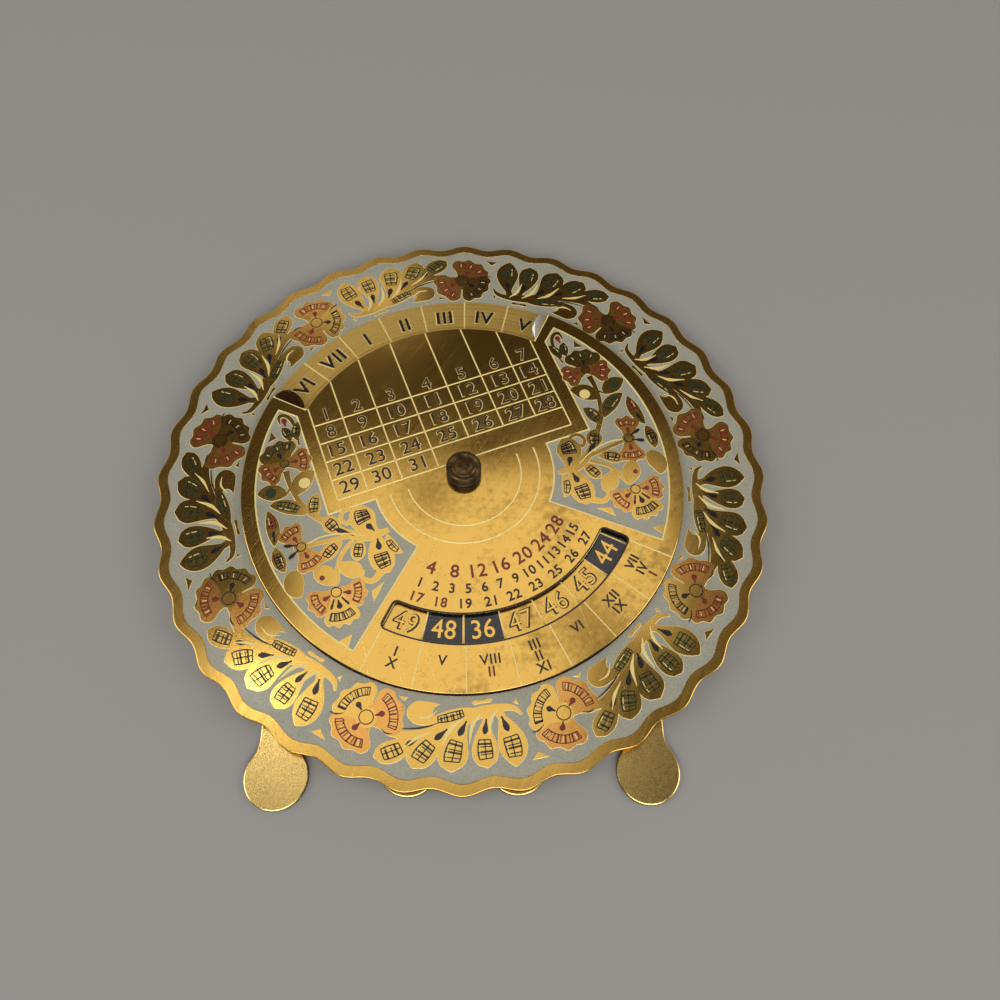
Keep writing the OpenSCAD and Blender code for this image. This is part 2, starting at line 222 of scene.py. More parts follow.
class Effects:
    """The shader node groups that the finishes share, each built once.

    Each draw method takes a kit for its group's nodes and the group's inputs, and returns its value.
    """

    def __init__(self) -> None:
        """Build the groups."""
        self.grain = self.group("brushed_grain", {"Length": 12.0, "Width": 0.4, "Turn": 0.0}, self.draw_grain)
        self.tarnish = self.group("tarnish", {"Size": 0.05, "Amount": 0.3}, self.draw_tarnish)
        self.scratches = self.group("hair_scratches", {"Amount": 0.5, "Turn": 0.0}, self.draw_scratches)
        self.specks = self.group("specks", {"Size": 2.0, "Amount": 0.3}, self.draw_specks)
        self.turning = self.group("turning_rings", {"Pitch": 4.0}, self.draw_turning)

    @staticmethod
    def group(name: str, values: dict[str, float], draw: Callable) -> bpy.types.NodeTree:
        """Make a group that turns a place in millimetres into one value.

        Args:
            name: The group's name.
            values: Its named values and their defaults.
            draw: Draws the inside, from a kit and the input sockets to the output socket.

        Returns:
            The node group.
        """
        tree = bpy.data.node_groups.new(name, "ShaderNodeTree")
        tree.interface.new_socket("Place", in_out="INPUT", socket_type="NodeSocketVector")
        for key, value in values.items():
            socket = tree.interface.new_socket(key, in_out="INPUT", socket_type="NodeSocketFloat")
            socket.default_value = value
        tree.interface.new_socket("Mask", in_out="OUTPUT", socket_type="NodeSocketFloat")
        kit = NodeKit(tree)
        source = kit.node("NodeGroupInput")
        kit.node("NodeGroupOutput", {"Mask": draw(kit, source.outputs)})
        return tree

    @staticmethod
    def streaks(kit: NodeKit, place: object, turn: object, length: object, width: object,
                detail: float) -> Socket:
        """Draw noise out along one direction."""
        turned = kit.node("ShaderNodeCombineXYZ", {"Z": turn}).outputs[0]
        stretch = kit.node("ShaderNodeCombineXYZ", {"X": length, "Y": width, "Z": width}).outputs[0]
        inputs = {"Vector": place, "Rotation": turned, "Scale": stretch}
        mapping = kit.node("ShaderNodeMapping", inputs, vector_type="TEXTURE")
        return kit.noise(mapping.outputs[0], 1.0, detail)

    @classmethod
    def draw_grain(cls, kit: NodeKit, given: object) -> Socket:
        """Draw the long fine strokes of a wire brush, over broader ones."""
        longer, wider = 2.0, 3.5
        fine = cls.streaks(kit, given["Place"], given["Turn"], given["Length"], given["Width"], 3.0)
        length = kit.math("MULTIPLY", given["Length"], longer)
        width = kit.math("MULTIPLY", given["Width"], wider)
        broad = cls.streaks(kit, given["Place"], given["Turn"], length, width, 2.0)
        return kit.blend(0.6, fine, broad)

    @staticmethod
    def draw_tarnish(kit: NodeKit, given: object) -> Socket:
        """Draw soft blotches, broken up by finer ones."""
        finer = 9.0
        broad = kit.noise(given["Place"], given["Size"], 5.0)
        fine = kit.noise(given["Place"], kit.math("MULTIPLY", given["Size"], finer), 4.0)
        return kit.mask(kit.blend(0.68, broad, fine), given["Amount"], start=0.72, fall=0.4, soft=0.22)

    @classmethod
    def draw_scratches(cls, kit: NodeKit, given: object) -> Socket:
        """Draw sparse long hairlines in two directions."""
        length = 14.0
        masks = []
        for extra, width in ((0.06, 0.22), (0.9, 0.17)):
            turn = kit.math("ADD", given["Turn"], extra)
            line = cls.streaks(kit, given["Place"], turn, length, width, 1.0)
            masks.append(kit.mask(line, given["Amount"], start=0.76, fall=0.1, soft=0.05))
        return kit.math("MAXIMUM", *masks)

    @staticmethod
    def draw_specks(kit: NodeKit, given: object) -> Socket:
        """Draw small round specks, gathered in patches."""
        coarser = 0.12
        cell = kit.node("ShaderNodeTexVoronoi", {"Vector": given["Place"], "Scale": given["Size"]})
        dot = kit.ramp(cell.outputs["Distance"], 0.34, 0.12)
        patch = kit.noise(given["Place"], kit.math("MULTIPLY", given["Size"], coarser), 3.0)
        return kit.math("MULTIPLY", dot, kit.mask(patch, given["Amount"], start=0.75, fall=0.5, soft=0.2))

    @staticmethod
    def draw_turning(kit: NodeKit, given: object) -> Socket:
        """Draw fine rings round the pivot, as a lathe tool leaves."""
        split = kit.node("ShaderNodeSeparateXYZ", {"Vector": given["Place"]})
        squares = [kit.math("MULTIPLY", split.outputs[i], split.outputs[i]) for i in range(2)]
        radius = kit.math("SQRT", kit.math("ADD", *squares))
        ring = kit.node("ShaderNodeCombineXYZ", {"X": radius, "Z": split.outputs[2]})
        return kit.noise(ring.outputs[0], given["Pitch"], 2.0)


@dataclass(frozen=True)
class Finish:
    """What every finish has.

    Attributes:
        name: Its material's name.
        colour: Its colour.
        roughness: Its roughness.
    """

    name: str
    colour: Colour
    roughness: float

    def start(self) -> tuple[NodeKit, bpy.types.Node, Socket]:
        """Start the material."""
        material = bpy.data.materials.new(self.name)
        material.use_nodes = True
        kit = NodeKit(material.node_tree)
        shader = material.node_tree.nodes["Principled BSDF"]
        shader.inputs["Base Color"].default_value = self.colour
        shader.inputs["Roughness"].default_value = self.roughness
        place = kit.node("ShaderNodeTexCoord").outputs["Object"]
        scaled = kit.node("ShaderNodeVectorMath", {0: place, "Scale": 1 / MM}, operation="SCALE")
        return kit, shader, scaled.outputs[0]

    def material(self, effects: Effects) -> bpy.types.Material:
        """Return the finish as a material, built the first time that it is asked for."""
        found = bpy.data.materials.get(self.name)
        if found is None:
            self.dress(effects)
            found = bpy.data.materials[self.name]
        return found

    def dress(self, effects: Effects) -> None:
        """Build the material's nodes."""
        raise NotImplementedError


@dataclass(frozen=True)
class Metal(Finish):
    """A worked metal with grain, tarnish and hairline scratches.

    Attributes:
        tarnish_colour: The colour of its tarnish.
        tarnish: How much of it is tarnished, from 0 to 1.
        tarnish_size: Blotches in a millimetre.
        grain_depth: Depth of the brush strokes.
        grain_length: Length of a stroke.
        grain_width: Width of a stroke.
        grain_turn: Direction of the strokes in degrees from X.
        scratches: How scratched it is, from 0 to 1.
        metallic: How metallic it is.
        rings: Whether the grain runs round the pivot.
        spread: How much the tarnish adds to the roughness.
        specked: How specked with tarnish it is, from 0 to 1.
        stains: The place and the radius of each larger stain.
        stain_z: Height of the stains' middles.
    """

    tarnish_colour: Colour = linear(96, 66, 26)
    tarnish: float = 0.25
    tarnish_size: float = 0.09
    grain_depth: float = 0.003
    grain_length: float = 12.0
    grain_width: float = 0.3
    grain_turn: float = 60.0
    scratches: float = 0.4
    metallic: float = 1.0
    rings: bool = False
    spread: float = 0.16
    specked: float = 0.0
    stains: tuple[Place, ...] = ()
    stain_z: float = 4.4

    def dress(self, effects: Effects) -> None:
        """Build the material's nodes."""
        kit, shader, place = self.start()
        turn = math.radians(self.grain_turn)
        if self.rings:
            grain = kit.effect(effects.turning, place, pitch=1 / self.grain_width)
        else:
            grain = kit.effect(effects.grain, place, length=self.grain_length, width=self.grain_width,
                               turn=turn)
        tarnish = kit.effect(effects.tarnish, place, size=self.tarnish_size, amount=self.tarnish)
        scratch = kit.effect(effects.scratches, place, amount=self.scratches, turn=turn)
        stain = self.stain(kit, effects, place, tarnish)
        tinted = kit.mix(stain, self.colour, self.tarnish_colour)
        worn = kit.mix(kit.math("MULTIPLY", scratch, 0.35), tinted, FRESH_METAL)
        kit.tree.links.new(worn, shader.inputs["Base Color"])
        rough = kit.ramp(grain, 0.3, 0.7, self.roughness * 0.8, self.roughness * 1.2)
        rough = kit.math("ADD", rough, kit.math("MULTIPLY", tarnish, self.spread))
        kit.tree.links.new(rough, shader.inputs["Roughness"])
        shader.inputs["Metallic"].default_value = self.metallic
        kit.bump(shader, kit.math("SUBTRACT", grain, kit.math("MULTIPLY", scratch, 0.6)), self.grain_depth)

    def stain(self, kit: NodeKit, effects: Effects, place: object, tarnish: object) -> Socket:
        """Gather what takes the tarnish's colour: blotches, specks and larger stains.

        Args:
            kit: A kit for the material's nodes.
            effects: The shared effects.
            place: The place on the piece in millimetres.
            tarnish: The mask of the blotches.

        Returns:
            The share of the tarnish's colour.
        """
        stain = kit.math("MULTIPLY", tarnish, 0.8)
        if self.specked > 0:
            specks = kit.effect(effects.specks, place, size=3.2, amount=self.specked)
            stain = kit.math("MAXIMUM", stain, kit.math("MULTIPLY", specks, 0.85))
        if not self.stains:
            return stain
        ragged, soft, most = 13.0, 8.0, 0.5
        wander = kit.math("MULTIPLY", kit.noise(place, 0.9, 6.0), ragged)
        for x, y, radius in self.stains:
            ends = {0: place, 1: (x, y, self.stain_z)}
            away = kit.node("ShaderNodeVectorMath", ends, operation="DISTANCE").outputs["Value"]
            spot = kit.ramp(kit.math("ADD", away, wander), radius + soft, radius - 0.5, 0.0, most)
            stain = kit.math("MAXIMUM", stain, spot)
        return stain


@dataclass(frozen=True)
class Enamel(Finish):
    """A fired enamel, mottled and specked.

    Attributes:
        shade: The colour of its mottling.
        specked: How specked it is, from 0 to 1.
        speck_colour: The colour of its specks.
        coat: Weight of its glossy skin.
        ripple: Depth of its ripples.
    """

    shade: Colour = linear(150, 148, 130)
    specked: float = 0.3
    speck_colour: Colour = linear(96, 88, 68)
    coat: float = 0.25
    ripple: float = 0.004

    def dress(self, effects: Effects) -> None:
        """Build the material's nodes."""
        kit, shader, place = self.start()
        mottle = kit.effect(effects.tarnish, place, size=0.11, amount=0.55)
        specks = kit.effect(effects.specks, place, size=2.4, amount=self.specked)
        mixed = kit.mix(kit.math("MULTIPLY", mottle, 0.6), self.colour, self.shade)
        fine = kit.ramp(kit.noise(place, 3.4, 4.0), 0.42, 0.66, 0.0, 0.6)
        mixed = kit.mix(fine, mixed, self.shade)
        mixed = kit.mix(kit.math("MULTIPLY", specks, 0.6), mixed, self.speck_colour)
        kit.tree.links.new(mixed, shader.inputs["Base Color"])
        rough = kit.ramp(mottle, 0.0, 1.0, self.roughness, self.roughness * 1.5)
        kit.tree.links.new(rough, shader.inputs["Roughness"])
        shader.inputs["Coat Weight"].default_value = self.coat
        shader.inputs["Coat Roughness"].default_value = 0.12
        kit.bump(shader, kit.noise(place, 1.6, 4.0), self.ripple)


BRASS = linear(238, 193, 99)
FRESH_METAL = linear(255, 232, 176)
PLATE_BRASS = Metal("brushed_plate_brass", BRASS, 0.22, tarnish=0.34, grain_width=0.25, grain_turn=62.0,
                    specked=0.45)
DIAL_BRASS = Metal("brushed_dial_brass", BRASS, 0.15, tarnish=0.4, tarnish_size=0.075, grain_width=0.2,
                   grain_turn=55.0, scratches=0.7, spread=0.12, specked=0.5,
                   stains=((-6.5, -4.5, 8.0), (5.0, 6.0, 7.0), (22.0, -30.0, 9.0)))
ISLAND_BRASS = Metal("island_brass", BRASS, 0.16, tarnish=0.22, tarnish_size=0.14, grain_depth=0.001,
                     spread=0.1)
# Painted shade on the left finger tab and a painted reflection on the right one; both are the dial's own
# brass.
SHADED_TAB = Metal("painted_shade_tab", linear(74, 46, 26), 0.24, tarnish_colour=linear(28, 20, 16),
                 tarnish=0.8)
REFLECTING_TAB = Metal("painted_reflection_tab", linear(196, 194, 184), 0.22, tarnish_colour=linear(110, 106, 96),
                 tarnish=0.3)
# Painted highlight: a pale, barely metallic brass. The raised lines and lips are real, but their brightness
# is painted; the glint strokes are painted highlight only.
HIGHLIGHT_LINE_BRASS = Metal("painted_highlight_line_brass", linear(255, 232, 152), 0.36, tarnish=0.08, metallic=0.3, scratches=0.0)
WEEK_BRASS = Metal("satin_week_brass", linear(240, 200, 108), 0.3, tarnish=0.22, grain_width=0.16,
                   metallic=0.72, rings=True, specked=0.3)
TINTED_BRASS = Metal("tinted_brass", linear(240, 180, 96), 0.2, tarnish_colour=linear(156, 64, 36),
                     tarnish=0.42, tarnish_size=0.34, metallic=0.95, scratches=0.0)
# Painted shade: a near-black brass for upright walls and for the ring under the dial's edge.
SHADE_BRASS = Metal("painted_shade_brass", linear(30, 22, 12), 0.55, tarnish_colour=linear(18, 14, 10), tarnish=0.5,
                   metallic=0.3, scratches=0.0)
STAND_BRASS = Metal("satin_stand_brass", linear(255, 220, 136), 0.26, tarnish=0.1, tarnish_size=0.35,
                    grain_depth=0.0014, grain_length=0.22, grain_width=0.16, scratches=0.1, specked=0.5)
# Painted shade: a dark brass for the stand's walls, the dark outline round its feet.
STAND_SHADE_BRASS = Metal("painted_shade_stand_brass", linear(96, 70, 36), 0.42, tarnish=0.5, scratches=0.1)
BACK_BRASS = Metal("rivet_brass", linear(206, 166, 96), 0.38, tarnish=0.5)
KNOB_BRONZE = Metal("knob_bronze", linear(142, 114, 72), 0.27, tarnish_colour=linear(30, 26, 22),
                    tarnish=0.85, tarnish_size=0.5, grain_depth=0.012, grain_width=0.22, rings=True)
# Painted shade: a darker, duller copy of the knob's bronze for its upright side.
KNOB_SIDE_SHADE = Metal("painted_shade_knob_side", linear(38, 33, 27), 0.42, tarnish_colour=linear(22, 20, 18),
                  tarnish=0.5, metallic=0.5, scratches=0.1)
STEEL = Metal("turned_washer_steel", linear(196, 196, 192), 0.3, tarnish_colour=linear(110, 98, 84),
              tarnish=0.3, rings=True)
PIN_BRASS = Metal("pin_brass", linear(196, 158, 96), 0.34, tarnish=0.45)
PALE_ENAMEL = Enamel("mottled_pale_enamel", linear(170, 168, 152), 0.3, shade=linear(140, 138, 120),
                     specked=0.5)
BLACK_ENAMEL = Enamel("glossy_black_enamel", linear(12, 13, 18), 0.16, shade=linear(34, 34, 40), specked=0.55,
                      speck_colour=linear(132, 130, 122), coat=0.5)
RED_FILL = Enamel("red_fill", linear(128, 42, 30), 0.28, shade=linear(88, 28, 20), specked=0.1)
BLACK_FILL = Enamel("black_fill", linear(32, 25, 26), 0.26, shade=linear(20, 18, 20), specked=0.0)
GREEN_FILL = Enamel("green_fill", linear(44, 60, 32), 0.28, shade=linear(26, 36, 20), specked=0.1)
DATE_INK = Enamel("date_ink", linear(52, 34, 34), 0.34, shade=linear(34, 22, 26), specked=0.0)

TONE_FINISH = {
    Tone.BRASS: ISLAND_BRASS, Tone.LINE: HIGHLIGHT_LINE_BRASS, Tone.RED: RED_FILL,
    Tone.BLACK: BLACK_FILL, Tone.GREEN: GREEN_FILL, Tone.TINT: TINTED_BRASS,
}
METAL_TONES = (Tone.BRASS, Tone.TINT)
BRASS_SLOTS = {Body.BASE: "plate_brass", Body.DIAL: "dial_brass", Body.LEG: "stand_brass"}
TONE_SLOT = {Tone.RED: "black_enamel", Tone.BLACK: "black_enamel", Tone.GREEN: "black_enamel"}


# Building blocks


def bounds_mm(node: str) -> tuple[Vector, Vector]:
    """Return a CAD node's lowest and highest corners in millimetres."""
    low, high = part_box(node)
    return Vector(low) / MM, Vector(high) / MM


def counter_clockwise(outline: Outline) -> Outline:
    """Return the outline in the order that makes its face point up."""
    area = sum(a.x * b.y - b.x * a.y for a, b in zip(outline, outline[1:] + outline[:1]))
    return outline if area > 0 else outline[::-1]


def raise_region(mesh: Mesh, faces: list, height: float, keep: bool = True) -> list:
    """Extrude faces upwards."""
    grown = bmesh.ops.extrude_face_region(mesh, geom=faces, use_keep_orig=True)["geom"]
    points = [g for g in grown if isinstance(g, bmesh.types.BMVert)]
    bmesh.ops.translate(mesh, vec=(0, 0, height), verts=points)
    if not keep:
        bmesh.ops.delete(mesh, geom=faces, context="FACES")
    return [g for g in grown if isinstance(g, bmesh.types.BMFace)]


def plaque(mesh: Mesh, outline: Outline, low: float, high: float, lip: float = 0.0,
           drop: float = 0.0, edge_index: int = 0) -> None:
    """Add a closed flat plaque.

    Args:
        mesh: The mesh that it joins.
        outline: Its outline.
        low: Its underside.
        high: Its top.
        lip: Width of the sloping lip round its top.
        drop: Height of that slope.
        edge_index: Material index of the lip and the wall.
    """
    ring = [mesh.verts.new((p.x, p.y, low)) for p in counter_clockwise(outline)]
    base = mesh.faces.new(ring)
    top = raise_region(mesh, [base], high - drop - low)
    base.normal_flip()
    if lip > 0:
        for edge in top[0].edges:
            for face in edge.link_faces:
                if face != top[0]:
                    face.material_index = edge_index
        slope = bmesh.ops.inset_region(mesh, faces=top, thickness=lip, depth=drop, use_boundary=True,
                                       use_even_offset=False)["faces"]
        for face in slope:
            face.material_index = edge_index


def slab(mesh: Mesh, loops: list[Outline], low: float, height: float) -> tuple[list, list]:
    """Fill the area inside loops and outside the loops in them, and raise it to a slab.

    Args:
        mesh: The mesh that it is made in.
        loops: Its outlines and the outlines of its holes.
        low: Its underside.
        height: Its height.

    Returns:
        Its top faces and its bottom faces.
    """
    rims = []
    for loop in loops:
        ring = [mesh.verts.new((p.x, p.y, low)) for p in loop]
        rims += [mesh.edges.new((ring[i - 1], ring[i])) for i in range(len(ring))]
    bmesh.ops.triangle_fill(mesh, edges=rims, use_beauty=True, normal=(0, 0, 1))
    bottom = list(mesh.faces)
    for face in bottom:
        if face.normal.z < 0:
            face.normal_flip()
    top = raise_region(mesh, bottom, height)
    for face in bottom:
        face.normal_flip()
    return top, bottom


def sheet(mesh: Mesh, loops: list[Outline], low: float, high: float, edge: float) -> None:
    """Add a flat sheet with holes and rounded edges.

    Args:
        mesh: The mesh that it joins.
        loops: Its outline, and then the outlines of its holes.
        low: Its underside.
        high: Its top.
        edge: Radius of its edges, worked as two flats.
    """
    flats = ((0.3, 0.7), (0.7, 0.3))
    work = bmesh.new()
    for faces in slab(work, loops, low + edge, high - low - 2 * edge):
        for width, rise in flats:
            bmesh.ops.inset_region(work, faces=faces, thickness=width * edge, depth=rise * edge,
                                   use_boundary=True, use_even_offset=True)
    pour(work, mesh)


def pour(source: Mesh, target: Mesh, place: Matrix | None = None) -> None:
    """Add all of one mesh to another, and free it.

    Args:
        source: The mesh that is poured.
        target: The mesh that it is added to.
        place: Where it is put, or None for where it is.
    """
    passing = bpy.data.meshes.new("passing")
    source.to_mesh(passing)
    source.free()
    if place is not None:
        passing.transform(place)
        if place.determinant() < 0:
            passing.flip_normals()
    target.from_mesh(passing)
    bpy.data.meshes.remove(passing)


def darken_walls(mesh: Mesh) -> None:
    """Give a sheet's upright walls the second finish, a painted shade."""
    upright = 0.45
    mesh.normal_update()
    for face in mesh.faces:
        if abs(face.normal.z) < upright:
            face.material_index = 1


def ridge_profile(mesh: Mesh, at: Vector, side: Vector, width: float, height: float) -> list:
    """Start a ridge: the edges of its cross-section, closed below.

    Args:
        mesh: The mesh that it joins.
        at: The middle of its foot.
        side: A unit vector across it.
        width: Its width at the foot.
        height: Its height.

    Returns:
        The four points and the four edges of the cross-section.
    """
    up = Vector((0, 0, 1))
    marks = ((-0.5, -0.3), (0.5, -0.3), (0.28, 1.0), (-0.28, 1.0))
    points = [mesh.verts.new(at + side * (a * width) + up * (b * height)) for a, b in marks]
    edges = [mesh.edges.new((points[i - 1], points[i])) for i in range(len(points))]
    return points + edges


def ridge_line(mesh: Mesh, start: Vector, end: Vector, width: float, height: float) -> None:
    """Add a straight raised line.

    Args:
        mesh: The mesh that it joins.
        start: Where its foot starts.
        end: Where its foot ends.
        width: Its width at the foot.
        height: Its height.
    """
    way = end - start
    side = Vector((way.y, -way.x, 0)).normalized()
    geometry = ridge_profile(mesh, start, side, width, height)
    cap = mesh.faces.new(geometry[:4])
    grown = bmesh.ops.extrude_face_region(mesh, geom=[cap], use_keep_orig=True)["geom"]
    bmesh.ops.translate(mesh, vec=way, verts=[g for g in grown if isinstance(g, bmesh.types.BMVert)])
    cap.normal_flip()


def ridge_ray(mesh: Mesh, inner: float, outer: float, degrees: float, z: float, width: float,
              height: float) -> None:
    """Add a straight raised line from radius inner to outer, at an angle."""
    ridge_line(mesh, polar(inner, degrees, z), polar(outer, degrees, z), width, height)


def ridge_arc(mesh: Mesh, radius: float, start: float, end: float, z: float, width: float,
              height: float) -> None:
    """Add a raised line along an arc round the pivot.

    Args:
        mesh: The mesh that it joins.
        radius: Radius of its middle.
        start: Angle where it starts, in degrees.
        end: Angle where it ends.
        z: Height of its foot.
        width: Its width at the foot.
        height: Its height.
    """
    step = 3
    geometry = ridge_profile(mesh, polar(radius, start, z), polar(1.0, start), width, height)
    mesh.faces.new(geometry[:4])
    turn = end - start
    last = bmesh.ops.spin(mesh, geom=geometry, axis=(0, 0, 1), cent=(0, 0, 0), angle=math.radians(turn),
                          steps=round(turn / step))["geom_last"]
    mesh.faces.new([g for g in last if isinstance(g, bmesh.types.BMVert)])


def spun(profile: Sequence[Point], segments: int) -> Mesh:
    """Spin a closed profile round the pivot."""
    mesh = bmesh.new()
    points = [mesh.verts.new((r, 0, z)) for r, z in profile]
    edges = [mesh.edges.new((points[i - 1], points[i])) for i in range(len(points))]
    bmesh.ops.spin(mesh, geom=points + edges, axis=(0, 0, 1), cent=(0, 0, 0), angle=math.tau,
                   steps=segments, use_merge=True)
    bmesh.ops.remove_doubles(mesh, verts=mesh.verts, dist=WELD)
    bmesh.ops.recalc_face_normals(mesh, faces=mesh.faces)
    return mesh


def rounded(radius: float, start: float, end: float, centre: Point, steps: int = 3) -> list[Point]:
    """Return the points of a rounded corner of a profile."""
    return [(p.x, p.y) for p in arc(radius, start, end, steps, centre)]


def grown(loop: Outline, width: float) -> Outline:
    """Move a loop's line to its right, with square corners.

    Args:
        loop: The loop.
        width: How far its line is moved.

    Returns:
        The moved loop.
    """
    shortest, sharpest = 0.015, 0.35
    points = [p for i, p in enumerate(loop) if (p - loop[i - 1]).length > shortest]
    moved = []
    for i, point in enumerate(points):
        before = (point - points[i - 1]).normalized()
        after = (points[(i + 1) % len(points)] - point).normalized()
        side = Vector((before.y + after.y, -before.x - after.x, 0))
        moved.append(point + side * (width / max(1 + before.dot(after), sharpest)))
    return moved


def lettering(mesh: Mesh, text: str, height: float, centre: Vector, turn: float,
              thick: float, weight: float, squeeze: float = 1.0) -> None:
    """Add plain numerals, flat and upright at an angle.

    Args:
        mesh: The mesh that they are added to.
        text: The numerals.
        height: Their height before they gain weight.
        centre: The middle of their foot on the ground.
        turn: The angle of their baseline in degrees.
        thick: Their thickness.
        weight: What each side of a stroke gains.
        squeeze: Their width as a share of the type's own.
    """
    wide, wider = 1.02, 2.6
    curve = bpy.data.curves.new("lettering", "FONT")
    curve.body = text
    curve.fill_mode = "NONE"
    curve.resolution_u = 3
    curve.space_character = wide + wider * weight / height
    holder = bpy.data.objects.new("lettering", curve)
    bpy.context.scene.collection.objects.link(holder)
    bpy.context.view_layer.update()
    line = bpy.data.meshes.new_from_object(holder)
    bpy.data.objects.remove(holder)
    bpy.data.curves.remove(curve)
    places = [v.co.copy() for v in line.vertices]
    closings = [sorted(e.vertices) for e in line.edges if abs(e.vertices[0] - e.vertices[1]) > 1]
    bpy.data.meshes.remove(line)
    low, high = (Vector((f(p.x for p in places), f(p.y for p in places), 0)) for f in (min, max))
    scale = height / (high.y - low.y)
    fit = Matrix.Diagonal((scale * squeeze, scale, 1, 1)) @ Matrix.Translation(-(low + high) / 2)
    loops = [counter_clockwise([fit @ p for p in places[first:last + 1]]) for first, last in closings]
    spans = [(min(p.x for p in loop), max(p.x for p in loop)) for loop in loops]
    for i, loop in enumerate(loops):
        inside = any(a < spans[i][0] and spans[i][1] < b for a, b in spans)
        loops[i] = grown(loop[::-1] if inside else loop, weight)
    work = bmesh.new()
    slab(work, loops, 0, thick)
    pour(work, mesh, Matrix.Translation(centre) @ Matrix.Rotation(math.radians(turn), 4, "Z"))


class Bench:
    """Finishes each mesh as a piece of the calendar.

    Attributes:
        crease: Angle in degrees from which an edge is sharp.
        level: Upright part of the normal from which a face is shaded flat.
    """

    crease: float = 40.0
    level: float = 0.9995

    def __init__(self) -> None:
        """Build the shared effects."""
        self.effects = Effects()

    def piece(self, mesh: Mesh, name: str, body: Body, finishes: Sequence[Finish],
              turn: float = 0.0, replaces: Sequence[str] = (), weld: bool = True) -> bpy.types.Object:
        """Finish a mesh as a piece.

        Args:
            mesh: The mesh in millimetres, which is freed.
            name: The piece's name.
            body: Its body.
            finishes: Its finishes, in the order of its material indices.
            turn: Its turn round the pivot in degrees.
            replaces: The CAD nodes that it stands for.
            weld: Whether points that lie on each other are joined.

        Returns:
            The piece.
        """
        if weld:
            bmesh.ops.remove_doubles(mesh, verts=mesh.verts, dist=WELD)
            bmesh.ops.recalc_face_normals(mesh, faces=mesh.faces)
        place = Matrix.Rotation(math.radians(turn), 4, "Z") @ Matrix.Scale(MM, 4)
        bmesh.ops.transform(mesh, matrix=place, verts=mesh.verts)
        data = bpy.data.meshes.new(name)
        mesh.to_mesh(data)
        mesh.free()
        data.shade_smooth()
        data.set_sharp_from_angle(angle=math.radians(self.crease))
        for face in data.polygons:
            face.use_smooth = abs(face.normal.z) < self.level
        for finish in finishes:
            data.materials.append(finish.material(self.effects))
        made = bpy.data.objects.new(name, data)
        bpy.context.scene.collection.objects.link(made)
        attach(made, body.value)
        if replaces:
            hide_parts(*replaces)
        log.info("%s: %d faces on %s", name, len(data.polygons), body.value)
        return made

    def dress(self, node: str, finish: Finish) -> None:
        """Give a CAD node a finish."""
        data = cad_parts[node].data
        data.materials.clear()
        data.materials.append(finish.material(self.effects))
        log.info("%s: %s", node, finish.name)


# Ornament


@dataclass(frozen=True)
class Leaf:
    """A leaf: an island with a laddered patch and a dark seed at its foot.

    Attributes:
        base: Its foot.
        tip: Its tip.
        width: Its greatest width.
        bow: Sideways bow of its middle line, as a share of its length.
        belly: Where along the leaf it is widest, from 0 to 1.
        fill: Tone of the patch, or None for a plain leaf.
        rungs: Number of lines across the patch.
        seed: Whether it has a seed.
        lift: What it stands above its neighbours.
        blunt: How blunt its ends are, lower being blunter.
        neck: Width of its foot.
    """

    base: Point
    tip: Point
    width: float
    bow: float = 0.0
    belly: float = 0.66
    fill: Tone | None = Tone.GREEN
    rungs: int = 4
    seed: bool = True
    lift: float = 0.0
    blunt: float = 0.62
    neck: float = 0.0

    def outline(self, start: float, end: float, steps: int, share: float = 1.0) -> Outline:
        """Work out the outline of a stretch of the leaf.

        Args:
            start: Where the stretch starts, from 0 to 1.
            end: Where it ends.
            steps: Pieces of each side.
            share: Width of the stretch as a share of the leaf's.

        Returns:
            The outline.
        """
        narrowest, neck_end = 0.17, 0.4
        foot, head = Vector((*self.base, 0)), Vector((*self.tip, 0))
        way = head - foot
        across = Vector((-way.y, way.x, 0))
        power = math.log(0.5) / math.log(self.belly)
        left, right = [], []
        for i in range(steps + 1):
            t = start + (end - start) * i / steps
            middle = foot + way * t + across * (self.bow * 4 * t * (1 - t))
            half = share * self.width / 2 * math.sin(math.pi * t ** power) ** self.blunt if 0 < t < 1 else 0.0
            half = max(half, share * narrowest, self.neck / 2 * (1 - t / neck_end))
            slope = across.normalized() + way.normalized() * (-self.bow * 4 * (1 - 2 * t))
            side = slope.normalized() * half
            left.append(middle + side)
            right.append(middle - side)
        return right + left[::-1]


